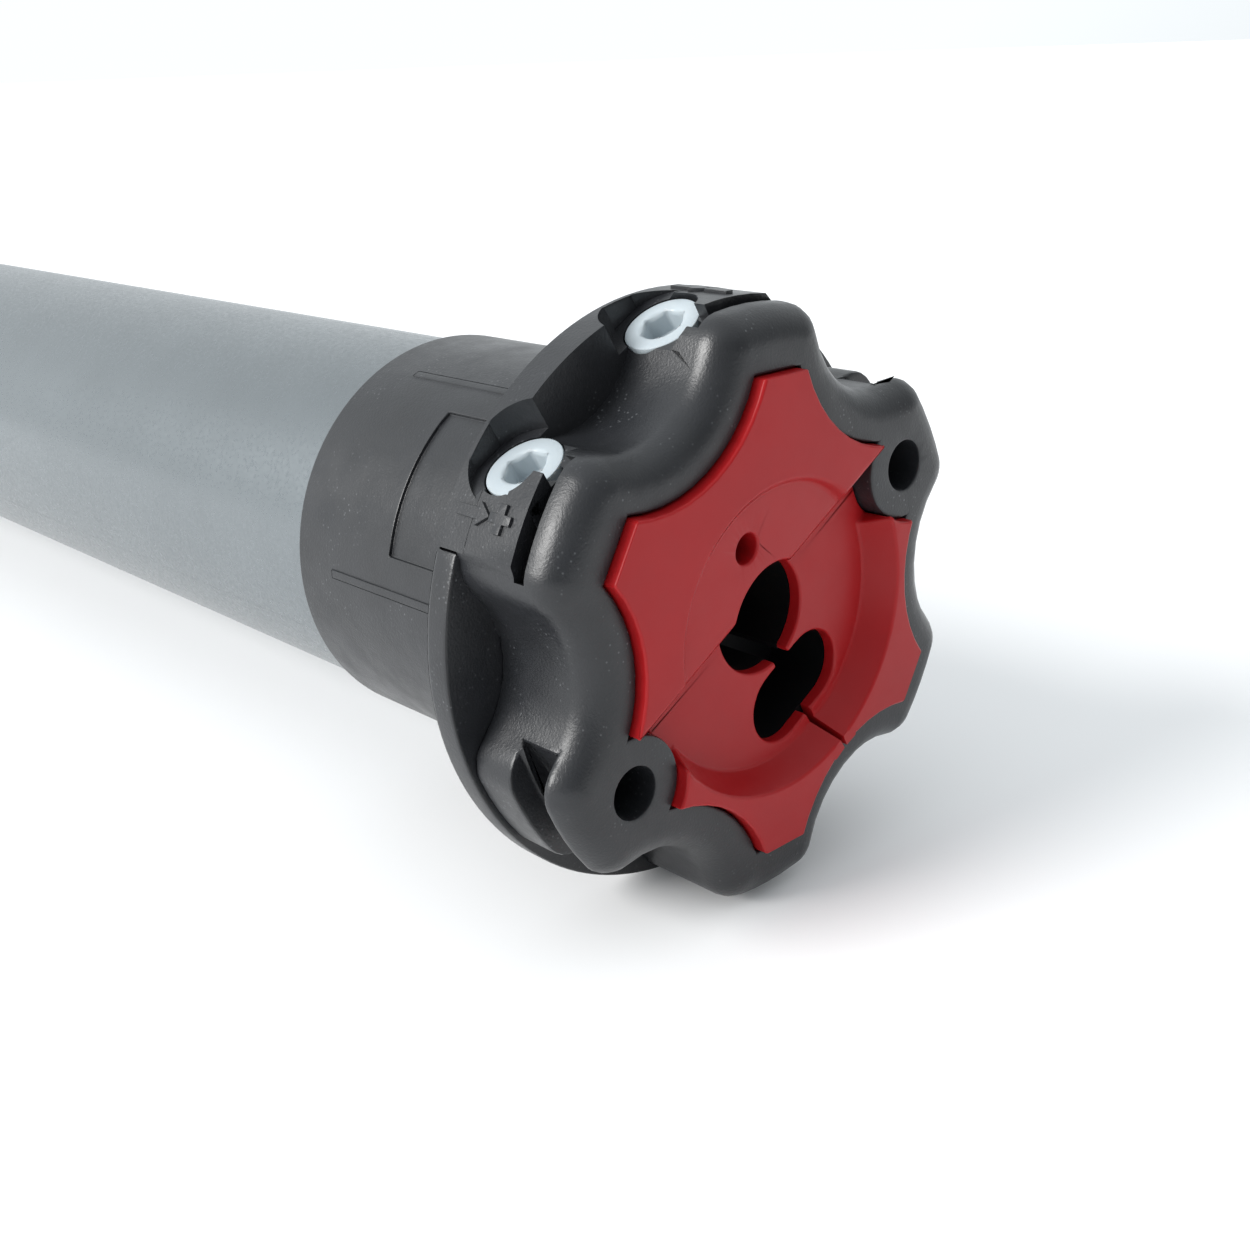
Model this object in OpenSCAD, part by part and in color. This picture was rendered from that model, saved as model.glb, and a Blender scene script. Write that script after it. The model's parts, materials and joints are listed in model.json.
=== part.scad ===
// Tubular roller blind motor with mechanical limit adjusters and a pluggable cable head.
// The tube's axis lies along X: the head's face looks along +X and the tube runs to -X.
// Origin: centre of the mounting face, between the two fixing holes.
// The modules draw in the head's own axes (Y along the two fixing holes, Z towards the
// adjusters); own() then turns them to the angle at which the head is seen.

/* [Head] */
// Turn of the head about the tube's axis, degrees
head_turn = 30; // [0:1:60]
// Radius over the six lobes
lobe_r = 31.7; // [30.5:0.1:32]
// Rounding of each lobe's corners
lobe_round = 4; // [3:0.1:4.5]
// Radius of the scoops between the lobes
scoop_r = 10.9; // [9.5:0.1:11.5]
// Distance of a scoop's centre from the axis
scoop_c = 36.4; // [36:0.1:37.5]
// Thickness of the lobed moulding
head_t = 13.4; // [13:0.1:16]
// Rounding of the lobed moulding's front edge
front_round = 3.5; // [2:0.1:3.6]
// Reach of the round flange beyond the lobes
flange_over = 0.6; // [0.4:0.1:2]
// Thickness of the round flange
flange_t = 3.2; // [3:0.1:4.5]
// Thickness of the adjuster sector let into the flange
sector_t = 2.6; // [1.8:0.1:2.7]
// Half angle of that sector
sector_a = 38.4; // [36:0.1:42]
// Width of the slots behind the adjuster lobes' front lips
lip_slot_w = 2.6; // [1.5:0.1:2.8]
// Width of the slots behind the fixing lobes' front lips
nut_slot_w = 4.7; // [3:0.1:5]

/* [Fixing] */
// Spacing of the two fixing holes
fixing_pcd = 48; // [47:0.1:49]
// Diameter of the fixing holes
fixing_d = 5.4; // [4.5:0.1:6]
// Depth of the fixing holes
fixing_depth = 11; // [8:0.1:12]
// Radius of the round boss about each fixing hole
fixing_boss_r = 5.85; // [5:0.05:6.2]

/* [Front plate] */
// Half width of the plate across opposite tips
plate_reach = 25.4; // [24.8:0.1:25.9]
// Width of each tip's flat
plate_tip_w = 6.3; // [4:0.1:7]
// Radius of the plate's six scoops
plate_scoop_r = 15.6; // [15:0.1:16]
// Distance of those scoops' centres from the axis
plate_scoop_c = 35.4; // [35:0.1:36]
// Thickness of the plate
plate_t = 5; // [4.8:0.1:5.6]
// Height of the plate's face over the mounting face
plate_proud = 1.2; // [1:0.1:2]
// Depth of the dish
dish_depth = 3.55; // [3:0.05:3.7]
// Radius of the dish at the face, on the cable side
dish_r = 18.6; // [18:0.1:18.8]
// Radius of the dish on the adjuster side
dish_upper_r = 14.9; // [13.5:0.1:15.4]
// Height of the crease that parts the two floors
crease_z = 2.2; // [1:0.1:3]
// Radius of the cable hole
cable_hole_r = 6.3; // [5.5:0.1:6.6]
// Width of the latch hole
latch_w = 14; // [12:0.1:14.6]
// Height of the latch hole
latch_h = 8.4; // [7.5:0.1:8.6]
// Distance of the latch hole below the axis
latch_drop = 11.2; // [10.9:0.1:11.5]
// Width of the neck between the two holes
neck_w = 2.2; // [1.5:0.1:3]
// Radius of the small hole over the cable hole
pip_r = 1.6; // [1:0.1:2]
// Width of the slit below the latch hole, at that hole
slit_w = 1.4; // [0.6:0.1:2]

/* [Adjusters] */
// Depth of the adjusters behind the mounting face
adjuster_depth = 10.9; // [10.7:0.05:11.1]
// Distance of each adjuster from the middle
adjuster_y = 10.65; // [10.4:0.05:11]
// Depth of the adjusters' faces below the lobes' outside
adjuster_sunk = 3.5; // [2.9:0.1:4.2]
// Radius of an adjuster's disc
adjuster_r = 4; // [3.6:0.1:4.2]
// Thickness of the disc
adjuster_disc_t = 3.2; // [2.5:0.1:3.6]
// Width of the hex socket across flats
hex_af = 4; // [3:0.1:4.5]
// Depth of the hex socket
hex_depth = 2.4; // [1.5:0.1:3]
// Radius of the pocket about each adjuster
pocket_r = 5.4; // [5:0.1:5.8]

/* [Crown] */
// Wall of the crown ring about the tube
crown_wall = 1; // [0.9:0.05:1.4]
// Length of the crown ring
crown_l = 35.7; // [32:0.1:42]
// Length of the two key recesses
key_l = 18; // [12:0.1:24]
// Depth of the key recesses
key_depth = 0.4; // [0.2:0.05:0.5]
// Thickness of the retaining ring
ring_t = 1; // [0.8:0.05:1.2]
// Face width of the crown's inner teeth
crown_teeth_w = 5.6; // [4.5:0.1:6]

/* [Tube] */
// Outer diameter of the motor tube
tube_d = 45; // [44.9:0.05:45.1]
// Wall of the motor tube
tube_wall = 1.2; // [1:0.05:1.3]
// Length of the motor tube
tube_l = 510; // [490:1:640]
// Length of the head's spigot inside the tube
spigot_l = 10; // [8:0.1:14]

/* [Limit unit] */
// Clear length between the limit unit's two end plates
limit_l = 39; // [38.5:0.1:46]
// Thickness of those end plates
limit_plate_t = 3; // [2.6:0.1:4]
// Radius of the limit spindles
spindle_r = 1.5; // [1.3:0.05:1.6]
// Thickness of the limit nuts
nut_t = 4; // [3:0.1:4.5]

/* [Motor] */
// Diameter of the capacitor
capacitor_d = 30; // [26:0.1:30.6]
// Length of the capacitor
capacitor_l = 62; // [50:1:75]
// Length of the stator's core
stator_l = 120; // [90:1:130]
// Bore of the stator
stator_bore_r = 11; // [10:0.1:12]
// Air gap between stator and rotor
air_gap = 0.3; // [0.25:0.05:0.5]
// Length of each end winding
winding_l = 15; // [10:0.5:18]
// Thickness of the two bearing shields
shield_t = 8; // [7:0.5:10]
// Radius of the rotor shaft in its bearings
shaft_r = 4; // [3.6:0.1:4.4]

/* [Brake] */
// Thickness of the fixed brake plate
brake_plate_t = 5; // [4:0.1:7]
// Thickness of the armature
armature_t = 6; // [5:0.1:8]
// Stroke of the armature when the brake lets go
brake_stroke = 0.8; // [0.5:0.05:1]

/* [Gearbox] */
// Face widths of the three stages' teeth
stage_w1 = 12; // [9:0.5:14]
stage_w2 = 18; // [14:0.5:20]
stage_w3 = 26; // [20:0.5:28]
// Thickness of the first carrier's disc
carrier_t1 = 5; // [4:0.1:6]
// Thickness of the second carrier's disc
carrier_t2 = 6; // [5:0.1:7]
// Thickness of the output carrier's disc
carrier_t3 = 8; // [7:0.1:10]
// Radius of the planets' pins
pin_r = 2; // [1.6:0.1:2.4]

/* [Output] */
// Radius of the output shaft
output_r = 6; // [5.5:0.1:6.4]
// Length of the output shaft outside the end cap
output_l = 23; // [18:0.5:30]
// Thickness of the end cap's rim outside the tube
cap_rim_t = 3; // [2:0.1:4]
// Length of the end cap inside the tube
cap_plug_l = 16; // [13:0.5:22]

/* [Hidden] */

fine = 96;
mid = 48;
small = 32;
eps = 0.01;
fit = 0.05;          // radial clearance of parts that seat or run in one another
gap = 0.3;           // clearance of parts that move past one another
clear = 0.15;        // clearance of moulded parts that drop into one another

// Stations along the tube, from the mounting face backwards
x_seat = -head_t;
x_flange = x_seat - flange_t;
x_crown = x_flange - gap;
lip_t = 0.7;
x_groove = x_crown - lip_t;
groove_w = ring_t + 2 * gap;
x_teeth = x_groove - groove_w;
x_teeth_end = x_teeth - crown_teeth_w;
x_tube = x_teeth_end - 1.2;
x_spigot_end = x_tube - spigot_l;
x_limit = x_spigot_end;
x_limit_in = x_limit - limit_plate_t;
x_limit_out = x_limit_in - limit_l;
x_limit_end = x_limit_out - limit_plate_t;
tube_r = tube_d / 2;
bore_r = tube_r - tube_wall;
spigot_r = bore_r - fit;
crown_bore_r = tube_r + 0.1;
crown_r = crown_bore_r + crown_wall;
flange_r = lobe_r + flange_over;
adjuster_face = lobe_r - adjuster_sunk;
bush_spigot_r = tube_r - 1.8;
spigot_in_r = spigot_r - 3.25;
plate_back = plate_proud - plate_t;
plate_out = plate_proud + 1;

// Stations from the tube's rear end forwards
x_rear = x_tube - tube_l;
axial = 0.5;
x_ring_end = x_rear + cap_plug_l;
x_c3 = x_ring_end + axial;
x_p3 = x_c3 + carrier_t3 + axial;
x_c2 = x_p3 + stage_w3 + axial;
x_p2 = x_c2 + carrier_t2 + axial;
x_c1 = x_p2 + stage_w2 + axial;
x_p1 = x_c1 + carrier_t1 + axial;
x_ring_front = x_p1 + stage_w1 + axial;
cover_t = 4;
x_brake = x_ring_front + cover_t;
lining_t = 2;
lining_gap = 0.1;
brake_r = bore_r - 2.8;
x_lining = x_brake + brake_plate_t + lining_gap;
x_armature = x_lining + lining_t;
x_shield_r = x_armature + armature_t + brake_stroke + 5;
x_winding_r = x_shield_r + shield_t + 1;
x_stator_r = x_winding_r + winding_l;
x_stator_f = x_stator_r + stator_l;
x_winding_f = x_stator_f + winding_l;
x_shield_f = x_winding_f + 1;
x_motor_f = x_shield_f + shield_t;
x_capacitor = x_limit_end - 22;
x_capacitor_end = x_capacitor - capacitor_l;

// Toothing: module, teeth, addendum, dedendum, thinning
crown_m = 0.8;
crown_z = 54;
pinion_z = 10;
crown_add = 0.65;
crown_ded = 0.85;
pinion_c = crown_m * (crown_z - pinion_z) / 2;
long_m = 0.6;
long_z = 9;
nut_z = 17;
long_add = 0.48;
long_ded = 0.63;
long_c = long_m * (long_z + nut_z) / 2;
stage_m = 0.65;
sun_z = 12;
planet_z = 21;
ring_z = 54;
stage_add = 0.52;
stage_ded = 0.6825;
stage_c = stage_m * (sun_z + planet_z) / 2;
thin = 0.1;

// Limit spindles: below the counter gear, at the distance its teeth need
wheel_c = 4.4;
spindle_y = adjuster_y - wheel_c;
spindle_z = pinion_c - sqrt(long_c * long_c - spindle_y * spindle_y);
wheel_tip_r = 3;
worm_r = 1.25;
nut_x = (x_limit_in + x_limit_out) / 2;
rail_w = 2;
rail_top = 5;
shelf_top = -6.5;
shelf_t = 1.5;
lead_r = 0.8;
lead_c = 16.8;
lead_a = [-114, -98, -82, -66];

// A part of length x1 - x0 along X, round or of the children's outline (their X, Y become Y, Z)
module xcyl(r, x0, x1, y = 0, z = 0, n = mid) {
    translate([x0, y, z]) rotate([90, 0, 90]) cylinder(h = x1 - x0, r = r, $fn = n);
}
module xcone(r0, r1, x0, x1, y = 0, z = 0, n = mid) {
    translate([x0, y, z]) rotate([90, 0, 90]) cylinder(h = x1 - x0, r1 = r0, r2 = r1, $fn = n);
}
module xprism(x0, x1) {
    translate([x0, 0, 0]) rotate([90, 0, 90]) linear_extrude(height = x1 - x0) children();
}
module xturn(points, n = fine) {
    rotate([90, 0, 90]) rotate_extrude($fn = n) polygon(points);
}
module block(x0, x1, y0, y1, z0, z1) {
    translate([x0, y0, z0]) cube([x1 - x0, y1 - y0, z1 - z0]);
}
module ring(r1, r0, x0, x1, n = fine) {
    difference() {
        xcyl(r1, x0, x1, n = n);
        xcyl(r0, x0 - eps, x1 + eps, n = n);
    }
}
module own() {
    rotate([head_turn, 0, 0]) children();
}
module pair() {
    children();
    mirror([0, 1, 0]) children();
}

function polar(r, a) = [r * cos(a), r * sin(a)];
function arc(c, r, a0, a1, n) = [for (i = [0:n]) c + polar(r, a0 + (a1 - a0) * i / n)];

// Involute gear outline with a tooth at angle 0
function inv_deg(a) = tan(a) * 180 / PI - a;
function gear_points(m, z, add, ded, thin) =
    let (rp = m * z / 2, rb = rp * cos(20), ra = rp + add, rf = rp - ded,
         hb = 90 / z + inv_deg(20) - thin / 2 / rp * 180 / PI,
         rs = max(rb, rf), rad = [rs, (rs + ra) / 2, ra],
         flank = [for (r = rad) [r, hb - inv_deg(acos(min(1, rb / r)))]],
         side = rf < rb ? concat([[rf, hb]], flank) : flank,
         last = len(side) - 1)
    [for (i = [0:z - 1], k = [0:2 * last + 1])
        let (s = k <= last ? side[k] : side[2 * last + 1 - k])
        polar(s[0], 360 * i / z + (k <= last ? -s[1] : s[1]))];

// Phase of a gear of z2 teeth that meshes, in direction dir, with one of z1 teeth and phase p1
function mesh_phase(z1, p1, dir, z2) = dir + 180 + 180 / z2 - (p1 - dir) * z1 / z2;

// Six-lobed outline, inset by d: rounded lobes joined by scoops, all arcs tangent
function lobe_outline(d) =
    let (f = lobe_r - lobe_round, s = scoop_r + lobe_round,
         spread = acos((f * f + scoop_c * scoop_c - s * s) / (2 * f * scoop_c)),
         a = 30 - spread, corner = polar(f, a), scoop = polar(scoop_c, 30),
         turn = atan2(scoop[1] - corner[1], scoop[0] - corner[0]),
         lobe = concat(
             arc([0, 0], lobe_r - d, 0, a, 2),
             [for (i = [1:5]) corner + polar(lobe_round - d, a + (turn - a) * i / 5)],
             [for (i = [1:4]) scoop + polar(scoop_r + d, turn + 180 - (turn - 30) * i / 4)]))
    [for (k = [0:5]) each concat(
        [for (p = lobe) polar(norm(p), atan2(p[1], p[0]) + 60 * k)],
        [for (i = [len(lobe) - 2:-1:1]) polar(norm(lobe[i]), 60 * (k + 1) - atan2(lobe[i][1], lobe[i][0]))])];

// The lobed body as a loft: a straight skirt and a rounded front edge, its ends fanned from the axis
module lobed_body(x0, x1, round_r) {
    steps = 5;
    rows = concat([[x0, 0]], [for (i = [0:steps])
        [x1 - round_r * (1 - sin(90 * i / steps)), round_r * (1 - cos(90 * i / steps))]]);
    n = len(lobe_outline(0));
    last = len(rows) - 1;
    points = concat([for (row = rows) each [for (p = lobe_outline(row[1])) [row[0], p[0], p[1]]]], [[x0, 0, 0], [x1, 0, 0]]);
    back = (last + 1) * n;
    polyhedron(points, [for (i = [0:n - 1]) let (k = (i + 1) % n) each concat(
        [[i, k, back], [last * n + k, last * n + i, back + 1]],
        [for (j = [0:last - 1]) [(j + 1) * n + i, (j + 1) * n + k, j * n + k, j * n + i]])], convexity = 6);
}

// Six-pointed outline of the front plate, grown by d
module plate_outline(d = 0) {
    tip = [plate_reach + d, plate_tip_w / 2 + d];
    c = polar(plate_scoop_c, 30);
    a0 = atan2(tip[1] - c[1], tip[0] - c[0]);
    run = arc(c, norm(tip - c), a0 + 360, 420 - a0 - 360, 10);
    polygon([for (k = [0:5]) each [for (p = run) polar(norm(p), atan2(p[1], p[0]) + 60 * k)]]);
}

module stadium(w, h, grow = 0) {
    r = h / 2 + grow;
    for (s = [-1, 1]) translate([s * (w - h) / 2, 0]) circle(r = r, $fn = mid);
    square([w - h, 2 * r], center = true);
}

module wedge(a, r, x0, x1) {
    xprism(x0, x1) polygon([[0, 0], polar(r / cos(a), 90 - a), polar(r / cos(a), 90 + a)]);
}

// Head
pip_z = 10.3;
slit_end = 20;
bank_w = 3.2;
boss_floor_z = -2.4;
upper_dip = 1.4;
socket_r = cable_hole_r + 1.7;
socket_wall = 1.3;
x_socket_end = x_flange - 7.4;
mech_w = 15.4;
mech_low = 8.7;
mech_top = 22.5;
x_mech = x_seat + 5.2;
base_screw_at = [[-15.2, 3], [15.2, 3], [-13.3, -8], [13.3, -8]];
base_screw_r = 1.2;
sector_in_r = lobe_r - 7.7;
core_in = 17.5;
core_front = 4.9;

module latch_shape(grow) {
    translate([0, -latch_drop]) stadium(latch_w, latch_h, grow);
}

module lip_slot(a, half, depth_r, x0, x1) {
    intersection() {
        difference() {
            xcyl(lobe_r + 5, x0, x1);
            xcyl(depth_r, x0 - eps, x1 + eps, n = fine);
        }
        rotate([a - 90, 0, 0]) wedge(half, lobe_r + 5, x0, x1);
    }
}

module head_housing() own() color("#2b2c2e") difference() {
    union() {
        lobed_body(x_seat, 0, front_round);
        // sector that fills the gap in the flange below the adjusters
        intersection() {
            ring(flange_r, sector_in_r, x_seat - sector_t, x_seat + 1);
            wedge(sector_a, flange_r + 2, x_seat - sector_t, x_seat + 1);
        }
    }
    // seat of the front plate, leaving the two round fixing bosses
    difference() {
        xprism(plate_back - clear, 1) plate_outline(clear);
        for (s = [-1, 1]) xcyl(fixing_boss_r, -8, 2, y = s * fixing_pcd / 2);
    }
    for (s = [-1, 1]) xcyl(fixing_d / 2, -fixing_depth, 1, y = s * fixing_pcd / 2);
    // well of the cable socket, round behind and with a latch side in front
    xcyl(socket_r + clear, x_seat - 1, 1, n = fine);
    xprism(x_seat - 1, 1) latch_shape(socket_wall + clear);
    // room for the worms and worm wheels, open to the rear
    block(x_seat - 1, x_mech, -mech_w, mech_w, mech_low, mech_top);
    // adjusters: outer pocket, seat of the disc, neck and lower pivot
    for (s = [-1, 1]) translate([-adjuster_depth, s * adjuster_y, 0]) {
        translate([0, 0, adjuster_face]) cylinder(h = 12, r = pocket_r, $fn = mid);
        translate([0, 0, adjuster_face - adjuster_disc_t]) cylinder(h = 12, r = adjuster_r + clear, $fn = mid);
        translate([0, 0, mech_top - 1]) cylinder(h = 6, r = 2 + fit, $fn = small);
        translate([0, 0, mech_low - 2]) cylinder(h = 3, r = worm_r + fit, $fn = small);
    }
    // front pivots of the two limit spindles
    for (s = [-1, 1]) xcyl(spindle_r + fit, x_mech - 1, x_mech + 2.7, y = s * spindle_y, z = spindle_z, n = small);
    // slots behind the front lips of the adjuster lobes and the fixing lobes
    for (a = [61, 119]) lip_slot(a, 11.5, plate_reach + 0.8, -6.8, -6.8 + lip_slot_w);
    for (a = [0, 180]) lip_slot(a, 16, 29, -8, -8 + nut_slot_w);
    // pilot holes of the screws that hold the base
    for (p = base_screw_at) xcyl(base_screw_r, x_seat - 1, x_seat + 8, y = p[0], z = p[1], n = small);
    // cored-out lower lobes
    for (a = [240, 300]) rotate([a, 0, 0]) block(x_seat - 1, -core_front, core_in, lobe_r - 3, -4, 4);
}

module head_base() own() color("#303133") difference() {
    union() {
        xturn([[0, x_flange], [flange_r - 0.4, x_flange], [flange_r, x_flange + 0.4],
               [flange_r, x_seat], [0, x_seat]]);
        xcyl(bush_spigot_r, x_tube + 0.6, x_flange + eps, n = fine);
        xcyl(spigot_r, x_spigot_end, x_tube + 0.6, n = fine);
    }
    // sector taken by the front moulding
    intersection() {
        ring(flange_r + 1, sector_in_r - clear, x_seat - sector_t - fit, x_seat + 1);
        wedge(sector_a + 0.3, flange_r + 3, x_seat - sector_t - fit, x_seat + 1);
    }
    xcyl(spigot_in_r, x_spigot_end - 1, x_flange, n = fine);
    // groove of the retaining ring
    ring(bush_spigot_r + 1, bush_spigot_r - 1, x_groove - gap - ring_t - 0.1, x_groove - gap + 0.1);
    // window and bearings of the counter pinion
    block(x_teeth_end - 0.4, x_teeth + 0.2, -5.5, 5.5, pinion_c - 5.5, pinion_c + 6);
    block(x_teeth, x_flange, -2.2, 2.2, pinion_c - 2.2, pinion_c + 6);
    xcyl(1.9, x_spigot_end - 1, x_teeth_end, z = pinion_c, n = small);
    xcyl(1.5 + fit, x_flange - 1, x_flange + 2.2, z = pinion_c, n = small);
    // passages of the spindles, the socket and the screws
    for (s = [-1, 1]) xcyl(spindle_r + fit, x_flange - 1, 0, y = s * spindle_y, z = spindle_z, n = small);
    xcyl(socket_r + clear, x_flange - 1, 0);
    for (p = base_screw_at) xcyl(base_screw_r + 0.2, x_flange - 1, 0, y = p[0], z = p[1], n = small);
    // screw holes of the tube
    for (s = [-1, 1]) translate([x_tube - spigot_l / 2, 0, 0]) rotate([90, 0, 0])
        translate([0, 0, s * 19.5 - 3.5]) cylinder(h = 7, r = 1.2, $fn = small);
}

module front_plate() own() color("#c2272d") {
    floor_x = plate_proud - dish_depth;
    wall = 1.8;
    difference() {
        xprism(plate_back, plate_proud) plate_outline();
        for (s = [-1, 1]) xcyl(fixing_boss_r + clear, plate_back - 1, plate_out, y = s * fixing_pcd / 2);
        // level floor on the cable side of the crease, open towards the two bosses
        intersection() {
            xcone(dish_r - wall, dish_r, floor_x, plate_proud + eps, n = fine);
            block(floor_x, plate_out, -lobe_r, lobe_r, -lobe_r, crease_z);
        }
        pair() block(floor_x, plate_out, dish_r - 2 * wall, fixing_pcd / 2, boss_floor_z, crease_z);
        // bank that climbs from the crease to the face
        translate([0, fixing_pcd / 2, 0]) rotate([90, 0, 0]) linear_extrude(height = fixing_pcd)
            polygon([[floor_x, crease_z - eps], [plate_proud, crease_z + bank_w],
                     [plate_out, crease_z + bank_w], [plate_out, crease_z - eps]]);
        // shallow floor above the crease that runs out towards the face
        intersection() {
            xcone(dish_upper_r - 1, dish_upper_r, plate_proud - upper_dip, plate_proud + eps, n = fine);
            translate([0, lobe_r, 0]) rotate([90, 0, 0]) linear_extrude(height = 2 * lobe_r)
                polygon([[plate_proud - upper_dip, crease_z], [plate_proud - 0.35, dish_upper_r],
                         [plate_out, dish_upper_r], [plate_out, crease_z]]);
        }
        xcyl(cable_hole_r, plate_back - 1, plate_out, n = fine);
        xprism(plate_back - 1, plate_out) latch_shape(0);
        block(plate_back - 1, plate_out, -neck_w / 2, neck_w / 2, -latch_drop, 0);
        xcyl(pip_r, plate_back - 1, plate_out, z = pip_z, n = small);
        // slit that narrows from the latch hole to the rim of the dish
        xprism(plate_back - 1, plate_out) polygon([[-slit_w / 2, -latch_drop], [slit_w / 2, -latch_drop],
            [slit_w / 6, -slit_end], [-slit_w / 6, -slit_end]]);
    }
}

module cable_socket() own() color("#232325") difference() {
    union() {
        xcyl(socket_r, x_socket_end, plate_back - clear, n = fine);
        xprism(x_seat, plate_back - clear) latch_shape(socket_wall);
    }
    xcyl(cable_hole_r, x_flange, 0, n = fine);
    xprism(x_seat + 2, 0) latch_shape(0);
    block(x_seat + 2, 0, -neck_w / 2, neck_w / 2, -latch_drop, 0);
    xcyl(cable_hole_r - 1.5, x_socket_end - 1, x_socket_end + 4);
    for (p = pin_at) xcyl(0.9 + fit, x_socket_end, 0, y = p[0], z = p[1], n = small);
}
pin_at = [[-3.2, -2.2], [0, -2.2], [3.2, -2.2], [0, 3]];

module socket_pins() own() color("#c8a24a") for (p = pin_at) {
    xcyl(0.9, x_socket_end - 1, x_flange + 6.5, y = p[0], z = p[1], n = small);
}

module base_screws() own() color("#a9acb0") for (p = base_screw_at) {
    xcyl(base_screw_r - fit, x_flange, x_seat + 7, y = p[0], z = p[1], n = small);
    difference() {
        xcyl(2.2, x_flange - 1.6, x_flange, y = p[0], z = p[1], n = small);
        block(x_flange - 2, x_flange - 1, p[0] - 0.3, p[0] + 0.3, p[1] - 3, p[1] + 3);
    }
}

// Crown
module crown_ring() own() color("#26272a") difference() {
    union() {
        difference() {
            xturn([[bush_spigot_r - 1, x_crown], [crown_r - 0.3, x_crown], [crown_r, x_crown - 0.3],
                   [crown_r, x_crown - crown_l + 0.3], [crown_r - 0.3, x_crown - crown_l], [bush_spigot_r - 1, x_crown - crown_l]]);
            // two key recesses that open at the flange side
            for (s = [0, 180]) rotate([s + 26.4, 0, 0]) intersection() {
                ring(crown_r + 1, crown_r - key_depth, x_crown - key_l, x_crown + 1);
                wedge(21, crown_r + 4, x_crown - key_l, x_crown + 1);
            }
        }
        // four low ribs beside the recesses
        for (s = [0, 180], a = [-5.1, 57.4]) rotate([s + a, 0, 0])
            block(x_crown - crown_l + 7.1, x_crown - 0.6, -0.5, 0.5, crown_r - 0.5, crown_r + 0.15);
    }
    xcyl(bush_spigot_r + 0.5, x_groove - 1, x_crown + 1, n = fine);
    xcyl(bush_spigot_r + 1.5, x_teeth, x_groove, n = fine);
    xprism(x_teeth_end - eps, x_teeth + eps)
        rotate(90) polygon(gear_points(crown_m, crown_z, crown_ded, crown_add, -thin));
    xcyl(crown_bore_r, x_crown - crown_l - 1, x_teeth_end, n = fine);
}

module crown_retaining_ring() own() color("#8d9094") difference() {
    ring(bush_spigot_r + 1.1, bush_spigot_r - 1 + fit, x_groove - gap - ring_t, x_groove - gap);
    block(x_teeth, x_crown, -2, 2, -30, 0);
}

// Tube
module screw_cone(grow = 0) {
    for (s = [-1, 1]) translate([x_tube - spigot_l / 2, 0, 0]) rotate([s * -90, 0, 0]) {
        translate([0, 0, tube_r - 0.2 - 1]) cylinder(h = 1, r1 = 1.15 + grow, r2 = 2.15 + grow, $fn = small);
        translate([0, 0, 16.5]) cylinder(h = tube_r - 17.6, r = 1.15 + grow, $fn = small);
        if (grow > 0) translate([0, 0, tube_r - 0.2 - eps]) cylinder(h = 2, r = 2.15 + grow, $fn = small);
    }
}

module motor_tube() own() color("#a7abb3") difference() {
    ring(tube_r, bore_r, x_rear, x_tube);
    screw_cone(0.1);
    for (a = cap_screw_a) rotate([a, 0, 0]) translate([x_rear + cap_plug_l / 2, 0, 0])
        translate([0, 0, bore_r - 1]) cylinder(h = 4, r = 1.6, $fn = small);
}

module tube_screws() own() color("#9a9da1") screw_cone();

// Limit adjustment
module adjuster() {
    translate([-adjuster_depth, adjuster_y, 0]) difference() {
        union() {
            translate([0, 0, adjuster_face - adjuster_disc_t + fit]) cylinder(h = adjuster_disc_t - fit, r = adjuster_r, $fn = mid);
            translate([0, 0, mech_top - 1]) cylinder(h = adjuster_face - mech_top, r = 2, $fn = small);
            translate([0, 0, mech_low - 2 + fit]) cylinder(h = mech_top - mech_low + 2, r = worm_r, $fn = small);
        }
        translate([0, 0, adjuster_face - hex_depth]) cylinder(h = 5, r = hex_af / sqrt(3), $fn = 6);
        // chamfer into the hex socket
        translate([0, 0, adjuster_face - 0.5]) cylinder(h = 1, r1 = hex_af / 2 - 0.1, r2 = hex_af / 2 + 0.9, $fn = mid);
    }
}
module adjuster_up() own() color("#dfe6ea") mirror([0, 1, 0]) adjuster();
module adjuster_down() own() color("#dfe6ea") adjuster();

module limit_spindle() {
    xcyl(spindle_r, x_limit_out - 2, x_mech + 2.4, y = spindle_y, z = spindle_z, n = small);
    translate([0, spindle_y, spindle_z]) xprism(-adjuster_depth - 1.5, -adjuster_depth + 1.5)
        polygon(gear_points(0.42, 13, wheel_tip_r - 2.73, 0.4, 0.1));
}
module limit_spindle_up() own() color("#c9b27a") mirror([0, 1, 0]) limit_spindle();
module limit_spindle_down() own() color("#c9b27a") limit_spindle();

module limit_nut() {
    dir = atan2(spindle_z - pinion_c, spindle_y);
    translate([0, spindle_y, spindle_z]) difference() {
        xprism(nut_x - nut_t / 2, nut_x + nut_t / 2)
            rotate(mesh_phase(long_z, 90, dir, nut_z)) polygon(gear_points(long_m, nut_z, long_add, long_ded, thin));
        xcyl(spindle_r + fit, nut_x - nut_t, nut_x + nut_t, n = small);
    }
}
module limit_nut_up() own() color("#e8e3d6") mirror([0, 1, 0]) limit_nut();
module limit_nut_down() own() color("#e8e3d6") limit_nut();

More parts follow.
